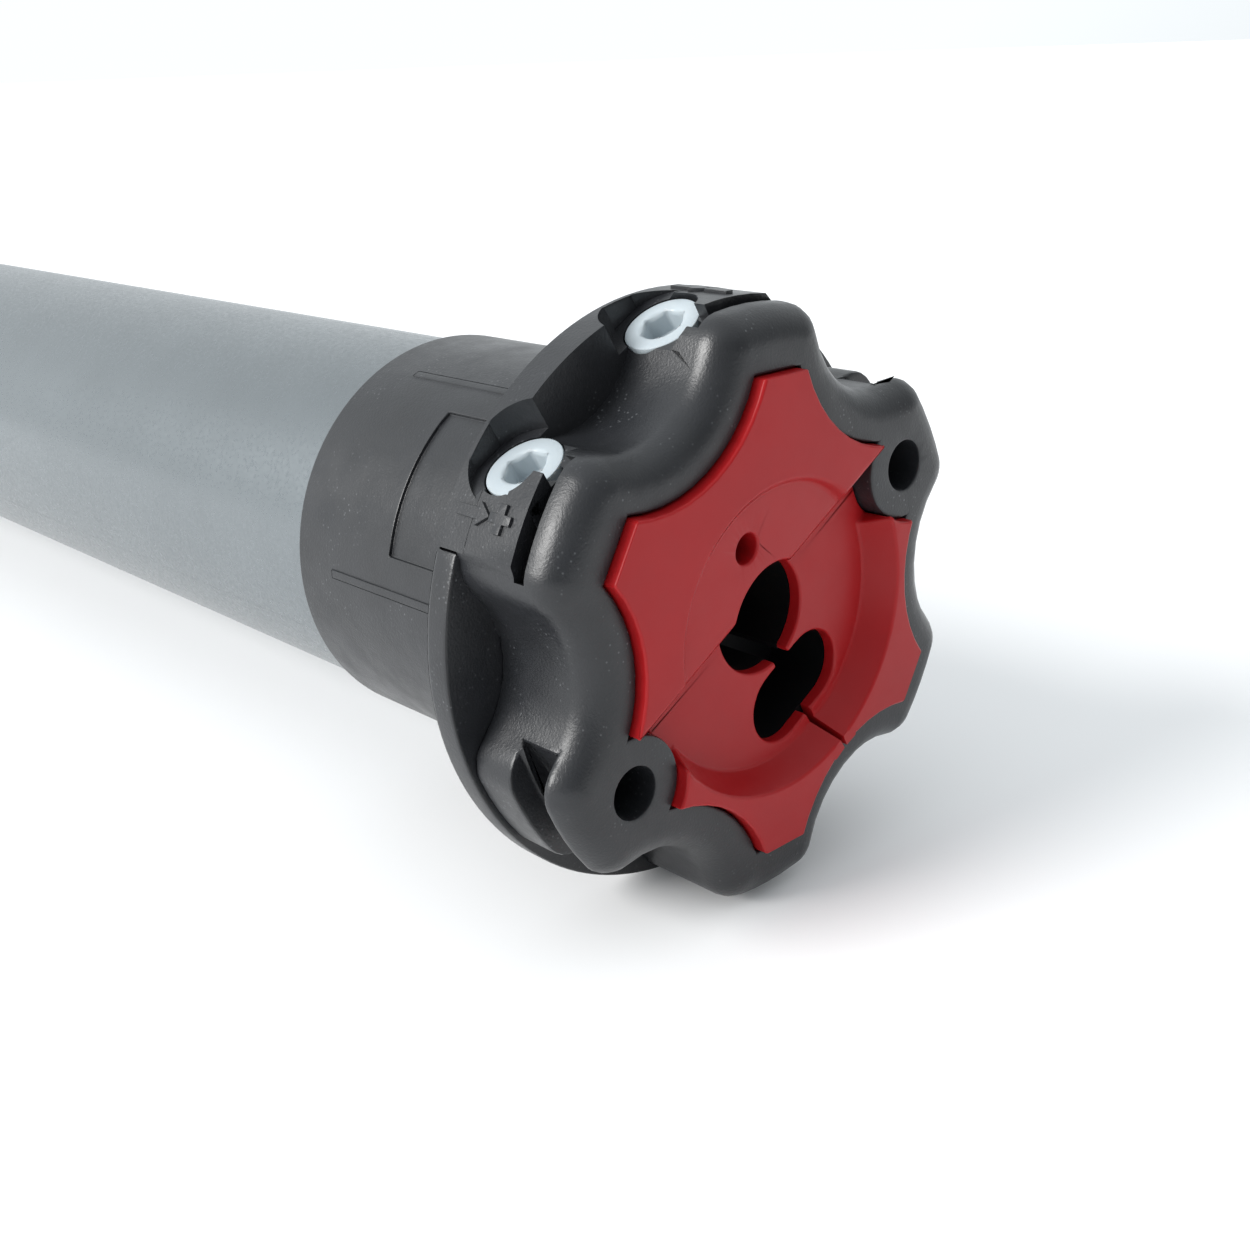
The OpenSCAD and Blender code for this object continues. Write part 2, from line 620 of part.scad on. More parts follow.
follower_t = 1.4;
follower_out = nut_t / 2 + 0.2 + follower_t;
module limit_follower() {
    difference() {
        union() {
            for (s = [-1, 1]) translate([s * (follower_out - follower_t / 2) + nut_x, 0, 0]) {
                xcyl(3.4, -follower_t / 2, follower_t / 2, y = spindle_y, z = spindle_z);
                block(-follower_t / 2, follower_t / 2, spindle_y - 2.5, spindle_y + 2.5, rail_top, spindle_z);
            }
            block(nut_x - follower_out, nut_x + follower_out, spindle_y - 3.4, spindle_y + 3.4,
                  rail_top - 1.6, spindle_z - long_m * nut_z / 2 - 0.9);
            // finger that presses the switch lever
            block(nut_x - 2, nut_x + 2, spindle_y + 3, spindle_y + 7.4, rail_top - 1.6, rail_top);
        }
        xcyl(spindle_r + gap, nut_x - 6, nut_x + 6, y = spindle_y, z = spindle_z, n = small);
        block(nut_x - 6, nut_x + 6, spindle_y - rail_w / 2 - gap, spindle_y + rail_w / 2 + gap, 0, rail_top + gap);
    }
}
module limit_follower_up() own() color("#d8573a") mirror([0, 1, 0]) limit_follower();
module limit_follower_down() own() color("#3a7bd8") limit_follower();

module counter_pinion() own() color("#efece2") translate([0, 0, pinion_c]) {
    xcyl(1.5, x_limit_out - 2, x_flange + 2, n = small);
    xprism(x_teeth_end + 0.2, x_teeth - 0.2)
        rotate(90) polygon(gear_points(crown_m, pinion_z, crown_add, crown_ded, thin));
    xprism(x_limit_out + 1, x_limit_in - 1)
        rotate(90) polygon(gear_points(long_m, long_z, long_add, long_ded, thin));
}

module limit_frame() own() color("#e9e7df") difference() {
    union() {
        for (x = [x_limit, x_limit_out]) xcyl(bore_r - clear, x - limit_plate_t, x, n = fine);
        block(x_limit_out, x_limit_in, -17, 17, shelf_top - shelf_t, shelf_top);
        pair() block(x_limit_out, x_limit_in, spindle_y - rail_w / 2, spindle_y + rail_w / 2, shelf_top - 1, rail_top);
        // outer rails that join the plates along the tube's wall
        pair() intersection() {
            ring(bore_r - clear, bore_r - 2, x_limit_out, x_limit_in);
            block(x_limit_out, x_limit_in, 10, 25, shelf_top - shelf_t, -2);
        }
    }
    for (s = [-1, 1]) xcyl(spindle_r + fit, x_limit_out - 2.2, x_limit + 1, y = s * spindle_y, z = spindle_z, n = small);
    xcyl(1.5 + fit, x_limit_out - 2.2, x_limit + 1, z = pinion_c, n = small);
    // way for the leads
    block(x_limit_end - 1, x_limit + 1, -9, 9, -30, -14);
    xcyl(5, x_limit_in - 1, x_limit + 1, z = 0);
}

switch_l = 12.8;
switch_w = 5.8;
switch_h = 6.5;
switch_y = spindle_y + 6.3;
switch_x = x_limit_out + 1;
lever_x = switch_x + 1.4;
lever_z = shelf_top + switch_h + 0.9;
lever_l = 12;
module microswitch() {
    difference() {
        union() {
            block(switch_x, switch_x + switch_l, switch_y - switch_w / 2, switch_y + switch_w / 2, shelf_top, shelf_top + switch_h);
            for (s = [-1, 1]) block(switch_x + 0.4, switch_x + 2.4, switch_y + s * 2.45 - 0.4, switch_y + s * 2.45 + 0.4,
                                    shelf_top, lever_z + 0.9);
            // plunger
            translate([switch_x + 7, switch_y, shelf_top + 1]) cylinder(h = switch_h - 0.4, r = 0.8, $fn = small);
        }
        translate([lever_x, switch_y + 5, lever_z]) rotate([90, 0, 0]) cylinder(h = 10, r = 0.5, $fn = small);
    }
}
module switch_lever() {
    translate([lever_x, switch_y, lever_z]) {
        rotate([90, 0, 0]) translate([0, 0, -1.8]) cylinder(h = 3.6, r = 0.7, $fn = small);
        rotate([90, 0, 0]) translate([0, 0, -2.8]) cylinder(h = 5.6, r = 0.45, $fn = small);
        rotate([0, -14, 0]) block(0, lever_l, -1.8, 1.8, -0.2, 0.2);
    }
}
module microswitch_up() own() color("#1d1f22") mirror([0, 1, 0]) microswitch();
module microswitch_down() own() color("#1d1f22") microswitch();
module switch_lever_up() own() color("#c9ccd0") mirror([0, 1, 0]) switch_lever();
module switch_lever_down() own() color("#c9ccd0") switch_lever();

// Wiring
// Round tube swept through points that never run along Z
function unit(v) = v / norm(v);
module swept_tube(p, r, sides = 8) {
    last = len(p) - 1;
    points = [for (i = [0:last])
        let (t = unit((i > 0 ? unit(p[i] - p[i - 1]) : [0, 0, 0]) + (i < last ? unit(p[i + 1] - p[i]) : [0, 0, 0])),
             u = unit(cross([0, 0, 1], t)), v = cross(t, u))
        each [for (k = [0:sides - 1]) p[i] + r * (u * cos(360 * k / sides) + v * sin(360 * k / sides))]];
    polyhedron(points, concat(
        [[for (k = [0:sides - 1]) k]],
        [for (i = [0:last - 1], k = [0:sides - 1])
            [i * sides + k, (i + 1) * sides + k, (i + 1) * sides + (k + 1) % sides, i * sides + (k + 1) % sides]],
        [[for (k = [sides - 1:-1:0]) last * sides + k]]), convexity = 4);
}
module motor_leads() own() color("#a33b2c") for (i = [0:3]) {
    way = polar(lead_c, lead_a[i]);
    at = pin_at[i];
    side = i == 3 ? 5.6 : at[0];
    x = x_socket_end - 1;
    swept_tube([[x, at[0], at[1]], [x - 1.5, at[0], at[1]], [x - 2.6, (at[0] * 3 + side) / 4, at[1]],
                [x - 4, side, at[1] - 0.4], [x - 5, (side * 4 + way[0]) / 5, (at[1] * 4 + way[1]) / 5],
                [x - 8, (side + way[0] * 4) / 5, (at[1] + way[1] * 4) / 5], [x - 9, way[0], way[1] + 0.4],
                [x - 10.5, way[0], way[1]], [x_winding_f, way[0], way[1]]], lead_r);
}

module capacitor() own() color("#d9dbe0") {
    xcyl(capacitor_d / 2, x_capacitor_end, x_capacitor, n = fine);
    xcyl(capacitor_d / 2 - 2, x_capacitor - 1, x_capacitor + 1.5, n = mid);
    for (s = [-1, 1]) block(x_capacitor, x_capacitor + 8, s * 4 - 0.4, s * 4 + 0.4, -3.2, 3.2);
}

holder_l = 9;
module capacitor_holders() own() color("#e9e7df") for (x = [x_capacitor - holder_l, x_capacitor_end]) difference() {
    xcyl(bore_r - clear, x, x + holder_l, n = fine);
    xcyl(capacitor_d / 2 + fit, x - 1, x + holder_l + 1, n = fine);
    block(x - 1, x + holder_l + 1, -9, 9, -30, -13);
    for (a = [35, 145]) rotate([a, 0, 0]) block(x - 1, x + holder_l + 1, 17.2, 19.6, -6, 6);
}

// Motor
bearing_r = 9;
bearing_l = 6;
// Bearing shield with a recess about its hub on the winding's side
module shield(x0, hollow_x) {
    difference() {
        xcyl(bore_r - fit, x0, x0 + shield_t, n = fine);
        ring(bore_r - 3, bearing_r + 2.5, hollow_x, hollow_x + shield_t - 2.5);
        children();
    }
}
module motor_front_shield() own() color("#b9bcc0") shield(x_shield_f, x_shield_f - eps) {
    xcyl(bearing_r + fit, x_shield_f - 1, x_shield_f + bearing_l);
    for (a = lead_a) rotate([a, 0, 0]) xcyl(lead_r + 0.3, x_shield_f - 1, x_motor_f + 1, y = lead_c, n = small);
}
module motor_rear_shield() own() color("#b9bcc0") shield(x_shield_r, x_shield_r + 2.5 + eps) {
    xcyl(bearing_r + fit, x_shield_r + shield_t - bearing_l, x_shield_r + shield_t + 1);
    xcyl(shaft_r + 1, x_shield_r - 1, x_shield_r + shield_t);
}
module bearing(x0) {
    difference() {
        xcyl(bearing_r, x0, x0 + bearing_l);
        xcyl(shaft_r + fit, x0 - 1, x0 + bearing_l + 1);
        // sunken sides between the races
        for (x = [x0 - 1, x0 + bearing_l - 0.6]) ring(bearing_r - 1.6, shaft_r + 1.6, x, x + 1.6, n = mid);
    }
}
module front_bearing() own() color("#8d9094") bearing(x_shield_f);
module rear_bearing() own() color("#8d9094") bearing(x_shield_r + shield_t - bearing_l);

slots = 12;
slot_in = stator_bore_r + 1.2;
slot_out = bore_r - 3;
slot_half = 9;
module slot_shape(d) {
    for (i = [0:slots - 1]) rotate(360 * (i + 0.5) / slots)
        polygon([polar(slot_in + d, -slot_half + 3 * d), polar(slot_out - d, -slot_half + 2 * d),
                 polar(slot_out - d, slot_half - 2 * d), polar(slot_in + d, slot_half - 3 * d)]);
}
module stator_core() own() color("#7f8388") difference() {
    ring(bore_r - fit, stator_bore_r, x_stator_r, x_stator_f);
    xprism(x_stator_r - 1, x_stator_f + 1) slot_shape(0);
}
module stator_winding() own() color("#b5652b") {
    for (x = [x_winding_r, x_stator_f]) difference() {
        xturn([[slot_in, x], [slot_in, x + winding_l], [slot_out - 1.5, x + winding_l], [slot_out, x + winding_l - 1.5],
               [slot_out, x + 1.5], [slot_out - 1.5, x]]);
    }
    xprism(x_stator_r - 0.5, x_stator_f + 0.5) slot_shape(0.2);
}

square_w = 2 * (shaft_r - 1.2);
sun_shaft_r = 1.8;
module rotor_shaft() own() color("#9fa3a8") {
    xcyl(shaft_r, x_armature + armature_t + brake_stroke + 3, x_shield_f + bearing_l, n = mid);
    block(x_brake + 1, x_shield_r, -square_w / 2, square_w / 2, -square_w / 2, square_w / 2);
    xcyl(sun_shaft_r, x_p1 + 1, x_brake + 2, n = small);
    xcyl(shaft_r + 1.5, x_shield_r + shield_t, x_winding_r + 4, n = mid);
}
module rotor_core() own() color("#6f7378") difference() {
    union() {
        xcyl(stator_bore_r - air_gap, x_stator_r, x_stator_f, n = fine);
        xcyl(stator_bore_r - air_gap - 0.8, x_stator_r - 5, x_stator_f + 5, n = fine);
    }
    xcyl(shaft_r + fit, x_stator_r - 6, x_stator_f + 6);
}
module sun_gear() own() color("#b8bbc0") difference() {
    xprism(x_p1, x_brake) polygon(gear_points(stage_m, sun_z, stage_add, stage_ded, thin));
    xcyl(sun_shaft_r + fit, x_p1 + 1, x_brake + 1, n = small);
}

// Brake
module brake_plate() own() color("#8b8e93") difference() {
    xcyl(bore_r - 0.5, x_brake, x_brake + brake_plate_t, n = fine);
    xcyl(shaft_r + 2, x_brake - 1, x_brake + brake_plate_t + 1);
}
module brake_lining() own() color("#4a3b33") ring(brake_r - 1, brake_r - 7.5, x_lining, x_armature);
module brake_armature() own() color("#74787d") difference() {
    union() {
        xcyl(brake_r, x_armature, x_armature + armature_t, n = fine);
        xcyl(7, x_armature - 2, x_armature + 1);
    }
    block(x_armature - 3, x_armature + armature_t + 1, -square_w / 2 - fit, square_w / 2 + fit,
          -square_w / 2 - fit, square_w / 2 + fit);
    // pocket of the spring side
    ring(13, 8, x_armature + armature_t - 2, x_armature + armature_t + 1);
}

// Gearbox
module gearbox_cover() own() color("#b9bcc0") difference() {
    xcyl(bore_r - fit, x_ring_front, x_brake, n = fine);
    xcyl(6, x_ring_front - 1, x_brake + 1);
    ring(stage_m * ring_z / 2 - 2, 8, x_ring_front - 1, x_ring_front + 1.2);
}
module gearbox_ring() own() color("#8f9297") difference() {
    xcyl(bore_r - fit, x_ring_end, x_ring_front, n = fine);
    xprism(x_ring_end - 1, x_ring_front + 1)
        polygon(gear_points(stage_m, ring_z, stage_ded, stage_add, -thin));
}
module planet(x0, w, k) {
    rotate([120 * k, 0, 0]) translate([0, stage_c, 0]) difference() {
        xprism(x0, x0 + w) polygon(gear_points(stage_m, planet_z, stage_add, stage_ded, thin));
        xcyl(pin_r + fit, x0 - 1, x0 + w + 1, n = small);
    }
}
module planet_1a() own() color("#d6d2c4") planet(x_p1, stage_w1, 0);
module planet_1b() own() color("#d6d2c4") planet(x_p1, stage_w1, 1);
module planet_1c() own() color("#d6d2c4") planet(x_p1, stage_w1, 2);
module planet_2a() own() color("#b3b6bb") planet(x_p2, stage_w2, 0);
module planet_2b() own() color("#b3b6bb") planet(x_p2, stage_w2, 1);
module planet_2c() own() color("#b3b6bb") planet(x_p2, stage_w2, 2);
module planet_3a() own() color("#b3b6bb") planet(x_p3, stage_w3, 0);
module planet_3b() own() color("#b3b6bb") planet(x_p3, stage_w3, 1);
module planet_3c() own() color("#b3b6bb") planet(x_p3, stage_w3, 2);

carrier_r = stage_m * ring_z / 2 - stage_add - gap;
// Disc with three pins towards +X and, on the first two, the next stage's sun towards -X
module carrier(x0, t, w, sun_w) {
    xcyl(carrier_r, x0, x0 + t, n = fine);
    for (k = [0:2]) rotate([120 * k, 0, 0]) xcyl(pin_r, x0 + t - 1, x0 + t + axial + w, y = stage_c, n = small);
    if (sun_w > 0) xprism(x0 - sun_w, x0 + 1) polygon(gear_points(stage_m, sun_z, stage_add, stage_ded, thin));
}
module carrier_1() own() color("#a4a7ab") carrier(x_c1, carrier_t1, stage_w1, stage_w2 + axial);
module carrier_2() own() color("#a4a7ab") carrier(x_c2, carrier_t2, stage_w2, stage_w3 + axial);
module output_carrier() own() color("#a4a7ab") difference() {
    carrier(x_c3, carrier_t3, stage_w3, 0);
    xcyl(output_r - 1 + fit, x_c3 - 1, x_c3 + carrier_t3 - 2);
}

// Output
bush_wall = 3;
journal_r = output_r + 1;
x_out = x_rear - cap_rim_t;
x_tip = x_out - output_l;
tip_chamfer = 0.8;
module output_shaft() own() color("#b8bbc0") difference() {
    union() {
        xcyl(output_r, x_tip, x_out, n = fine);
        xcyl(journal_r, x_out - 0.5, x_c3 - axial + 0.2, n = fine);
        xcyl(output_r - 1, x_c3 - axial, x_c3 + carrier_t3 - 2.2);
    }
    // drive flat, chamfered tip and the hole of the screw that keeps the drive wheel on
    block(x_tip - 1, x_out - 0.5, output_r - 1, output_r + 1, -10, 10);
    difference() {
        ring(output_r + 2, output_r - 1, x_tip - 1, x_tip + tip_chamfer);
        xcone(output_r - 1, output_r, x_tip + tip_chamfer - 1, x_tip + tip_chamfer, n = fine);
    }
    xcyl(2.1, x_tip - 1, x_tip + 12, n = small);
}
module output_bearing() own() color("#b08d4a") ring(journal_r + bush_wall, journal_r + fit, x_out, x_rear + cap_plug_l - 2);
cap_screw_a = [0, 120, 240];
module output_end_cap() own() color("#b9bcc0") difference() {
    union() {
        xturn([[0, x_out], [tube_r - 1, x_out], [tube_r - 0.2, x_out + 0.8], [tube_r - 0.2, x_rear], [0, x_rear]]);
        xcyl(bore_r - fit, x_rear - eps, x_rear + cap_plug_l, n = fine);
    }
    xcyl(journal_r + bush_wall + fit, x_out - 1, x_rear + cap_plug_l - 2, n = fine);
    xcyl(journal_r + 0.6, x_out, x_rear + cap_plug_l + 1, n = fine);
    for (a = cap_screw_a) rotate([a, 0, 0]) translate([x_rear + cap_plug_l / 2, 0, bore_r - 6]) cylinder(h = 8, r = 1.25, $fn = small);
}
module end_cap_screws() own() color("#9a9da1") for (a = cap_screw_a) rotate([a, 0, 0])
    translate([x_rear + cap_plug_l / 2, 0, 0]) {
        translate([0, 0, bore_r - 5.5]) cylinder(h = 6.6, r = 1.2, $fn = small);
        translate([0, 0, bore_r]) cylinder(h = 1.1, r = 1.5, $fn = small);
    }

head_housing();
head_base();
front_plate();
cable_socket();
socket_pins();
base_screws();
crown_ring();
crown_retaining_ring();
motor_tube();
tube_screws();
adjuster_up();
adjuster_down();
limit_spindle_up();
limit_spindle_down();
limit_nut_up();
limit_nut_down();
limit_follower_up();
limit_follower_down();
counter_pinion();
limit_frame();
microswitch_up();
microswitch_down();
switch_lever_up();
switch_lever_down();
motor_leads();
capacitor();
capacitor_holders();
motor_front_shield();
front_bearing();
stator_core();
stator_winding();
rotor_shaft();
rotor_core();
rear_bearing();
motor_rear_shield();
brake_armature();
brake_lining();
brake_plate();
gearbox_cover();
gearbox_ring();
sun_gear();
planet_1a();
planet_1b();
planet_1c();
planet_2a();
planet_2b();
planet_2c();
planet_3a();
planet_3b();
planet_3c();
carrier_1();
carrier_2();
output_carrier();
output_shaft();
output_bearing();
output_end_cap();
end_cap_screws();
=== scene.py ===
"""Tubular roller blind motor: finishes, fine detail, stage and camera on its CAD frame."""

import json
import math

import bmesh
import bpy
from mathutils import Matrix, Vector

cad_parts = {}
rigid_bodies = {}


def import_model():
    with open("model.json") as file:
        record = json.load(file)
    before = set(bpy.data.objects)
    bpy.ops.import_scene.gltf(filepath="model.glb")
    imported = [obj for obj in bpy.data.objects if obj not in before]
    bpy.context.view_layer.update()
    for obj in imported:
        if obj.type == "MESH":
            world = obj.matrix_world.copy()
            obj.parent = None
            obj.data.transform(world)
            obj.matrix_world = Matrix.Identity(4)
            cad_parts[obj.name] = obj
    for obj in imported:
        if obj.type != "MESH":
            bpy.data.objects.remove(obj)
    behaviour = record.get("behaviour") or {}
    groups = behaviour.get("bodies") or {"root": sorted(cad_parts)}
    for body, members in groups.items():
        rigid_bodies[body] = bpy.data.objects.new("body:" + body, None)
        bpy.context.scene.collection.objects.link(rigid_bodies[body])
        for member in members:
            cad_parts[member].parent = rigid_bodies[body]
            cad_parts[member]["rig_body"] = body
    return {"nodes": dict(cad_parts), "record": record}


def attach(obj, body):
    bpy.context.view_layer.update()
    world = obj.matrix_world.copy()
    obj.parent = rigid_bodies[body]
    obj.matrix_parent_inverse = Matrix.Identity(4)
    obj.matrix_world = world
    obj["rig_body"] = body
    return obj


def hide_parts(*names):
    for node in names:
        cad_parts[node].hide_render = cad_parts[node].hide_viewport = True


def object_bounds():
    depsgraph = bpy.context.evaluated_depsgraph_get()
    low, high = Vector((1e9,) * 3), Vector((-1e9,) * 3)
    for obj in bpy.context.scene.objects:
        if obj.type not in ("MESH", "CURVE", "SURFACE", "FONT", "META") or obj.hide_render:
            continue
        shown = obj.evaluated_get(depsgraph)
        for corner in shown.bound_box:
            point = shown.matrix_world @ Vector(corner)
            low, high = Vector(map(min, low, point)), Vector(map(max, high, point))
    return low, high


bl_info = {
    "name": "Tubular roller blind motor",
    "version": (1, 0, 0),
    "blender": (4, 5, 0),
    "location": "View3D > Sidebar > Blind motor",
    "description": "Finishes, fine detail and stage for a tubular roller blind motor",
    "category": "Object",
}

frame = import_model()
NODES = frame["nodes"]
CAD_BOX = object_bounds()

MM = 0.001
WELD = 2e-6

# The head's own axes are the frame's, turned about the motor's axis
HEAD_TURN = math.radians(30)
TURN = Matrix.Rotation(HEAD_TURN, 4, "X")
ACROSS = Matrix.Rotation(math.pi / 2, 4, "Y")

# Head moulding, in its own axes; leans are degrees from its own Z
ADJUSTER_X = -10.9 * MM
ADJUSTER_Y = 10.65 * MM
ADJUSTER_LEANS = (14, 46)
LOBE_RADIUS = 31.7 * MM
PAD_RADIUS = 32.28 * MM
PAD_X = (-13.5 * MM, -6.6 * MM)
SLOT_BACK = -6.8 * MM
SLOT_FLOOR_RADIUS = 26.3 * MM
SLOT_NARROWER = 1.2 * MM
WALL_BACK = -8.9 * MM
WALL_Y = (12.2 * MM, 15.4 * MM)
WALL_Z = (26 * MM, 33 * MM)
POCKET_RADIUS = 4.25 * MM
NUT_SLOT_X = (-7.99 * MM, -3.31 * MM)
NUT_SLOT_Y = (26.9 * MM, 29.35 * MM)
NUT_SLOT_Z = (-8.2 * MM, 8.2 * MM)

# What is left unrounded: near the pockets, in the slots, and inside the rings
POCKET_EDGE = 5.7 * MM
SLOT_FRONT = -3.5 * MM
SLOT_INNER = 25 * MM
FLANGE_FACE = -16.7 * MM
FLANGE_INNER = 22 * MM
CROWN_INNER = 22.6 * MM
SLIT_HALF_WIDTH = 1.2 * MM
SLIT_TOP = -15 * MM
PLATE_BACK = -3.5 * MM

# Roundings that no size in the panel sets
ADJUSTER_EDGE = 0.2 * MM
CROWN_EDGE = 0.15 * MM

# Raised signs
MARK_ANGLE = 121.3
ARROW_X = -13.1 * MM
SIGN_X = -8.5 * MM
SIGN_EDGE = 0.06 * MM

# Screws and spindles
CAP_SCREW_ANGLES = (0, 120, 240)
RECESS_DEPTH = 0.6 * MM
RECESS_ARM = 1.0 * MM
RECESS_HALF_WIDTH = 0.22 * MM
THREAD_PITCH = 0.7 * MM
THREAD_DEPTH = 0.3 * MM
THREAD_LENGTH = 35 * MM
THREAD_FROM_END = 4 * MM
THREAD_STEPS = 16

# Stage
CAMERA_AT = (0.09558, -0.1107, 0.05435)
CAMERA_AHEAD = (-0.68459, 0.63948, -0.34987)
CAMERA_RIGHT = (0.69128, 0.72182, -0.03332)
LENS = 43.776
KEY_FROM = (-0.3, -0.8, 0.46)
KEY_STRENGTH = 3.8
KEY_WIDTH = math.radians(28)
SKY_FROM = (-0.72, 0.1, 0.69)
SKY_SHADE = (("From Min", -0.45), ("From Max", 0.5), ("To Min", 0.3), ("To Max", 1.06))
FLOOR_SIZE = 60
FLOOR_GAP = 0.0002


# Sizes and colours

class MotorSizes(bpy.types.PropertyGroup):
    """Sizes of the detail that is added to the CAD frame"""

    edge: bpy.props.FloatProperty(
        name="Moulded edge", description="Rounding of the plastic mouldings' edges",
        default=0.35 * MM, min=0.05 * MM, max=0.6 * MM, unit="LENGTH", precision=5)
    plate_edge: bpy.props.FloatProperty(
        name="Plate edge", description="Rounding of the front plate's edges",
        default=0.3 * MM, min=0.05 * MM, max=0.6 * MM, unit="LENGTH", precision=5)
    metal_edge: bpy.props.FloatProperty(
        name="Metal edge", description="Chamfer of the turned and pressed metal parts",
        default=0.12 * MM, min=0.02 * MM, max=0.3 * MM, unit="LENGTH", precision=5)
    mark_height: bpy.props.FloatProperty(
        name="Mark height", description="Height of the raised signs beside the adjusters",
        default=0.3 * MM, min=0.1 * MM, max=0.5 * MM, unit="LENGTH", precision=5)


class MotorColours(bpy.types.PropertyGroup):
    """Colours of the finishes"""

    black: bpy.props.FloatVectorProperty(
        name="Black moulding", description="Colour of the head, the flange and the crown",
        default=(0.015, 0.016, 0.0185), min=0, max=1, size=3, subtype="COLOR")
    red: bpy.props.FloatVectorProperty(
        name="Red plate", description="Colour of the front plate",
        default=(0.36, 0.009, 0.0115), min=0, max=1, size=3, subtype="COLOR")
    white: bpy.props.FloatVectorProperty(
        name="White adjuster", description="Colour of the limit adjusters",
        default=(0.40, 0.45, 0.48), min=0, max=1, size=3, subtype="COLOR")
    steel: bpy.props.FloatVectorProperty(
        name="Tube steel", description="Colour of the motor tube",
        default=(0.24, 0.262, 0.275), min=0, max=1, size=3, subtype="COLOR")


def sizes():
    return bpy.context.scene.motor_sizes


def colours():
    return bpy.context.scene.motor_colours


# Modelling helpers

def pick(obj):
    """Makes obj the one selected, active object."""
    if bpy.context.object and bpy.context.object.mode != "OBJECT":
        bpy.ops.object.mode_set(mode="OBJECT")
    bpy.ops.object.select_all(action="DESELECT")
    obj.select_set(True)
    bpy.context.view_layer.objects.active = obj


def edit(obj, kind="EDGE"):
    pick(obj)
    bpy.ops.object.mode_set(mode="EDIT")
    bpy.ops.mesh.select_mode(type=kind)
    bpy.ops.mesh.select_all(action="DESELECT")
    return bmesh.from_edit_mesh(obj.data)


def done(obj):
    bmesh.update_edit_mesh(obj.data)
    bpy.ops.object.mode_set(mode="OBJECT")


def select_edges(obj, test, least=25):
    """Selects the sharp edges of obj, in edit mode, whose middle passes the test."""
    net = bmesh.from_edit_mesh(obj.data)
    found = 0
    for e in net.edges:
        if len(e.link_faces) != 2 or e.calc_face_angle(0) < math.radians(least):
            continue
        if test((e.verts[0].co + e.verts[1].co) / 2, e):
            e.select_set(True)
            found += 1
    bmesh.update_edit_mesh(obj.data)
    return found


def solid_copy(node, name):
    """A clean copy of a CAD node, its doubles merged."""
    mesh = NODES[node].data.copy()
    mesh.materials.clear()
    obj = bpy.data.objects.new(name, mesh)
    bpy.context.scene.collection.objects.link(obj)
    edit(obj)
    bpy.ops.mesh.select_all(action="SELECT")
    if mesh.has_custom_normals:
        bpy.ops.mesh.customdata_custom_splitnormals_clear()
    bpy.ops.mesh.remove_doubles(threshold=WELD)
    done(obj)
    return obj


def every_edge(at, e):
    return True


def round_edges(obj, width, test=every_edge, segments=2, least=25):
    """Bevels the sharp edges that pass the test."""
    edit(obj)
    if select_edges(obj, test, least):
        bpy.ops.mesh.bevel(offset=width, segments=segments, profile=0.5, affect="EDGES",
                           clamp_overlap=False)
    done(obj)


def smooth(obj, angle=38):
    pick(obj)
    bpy.ops.object.shade_smooth_by_angle(angle=math.radians(angle))
    tool = obj.modifiers.new("Even shading", "WEIGHTED_NORMAL")
    tool.keep_sharp = True
    bpy.ops.object.modifier_apply(modifier=tool.name)


def settle(obj):
    """Puts a new piece's place, turn and scale into its mesh."""
    pick(obj)
    bpy.ops.object.transform_apply(location=True, rotation=True, scale=True)


def body_of(node):
    return NODES[node]["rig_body"]


def stand_for(obj, node, mat):
    """The finished piece takes a CAD node's place, body and slot."""
    obj.data.materials.append(mat)
    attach(obj, body_of(node))
    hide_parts(node)


def to_own(point):
    """A point of the frame in the head's own axes."""
    return TURN.inverted() @ point


# Material helpers

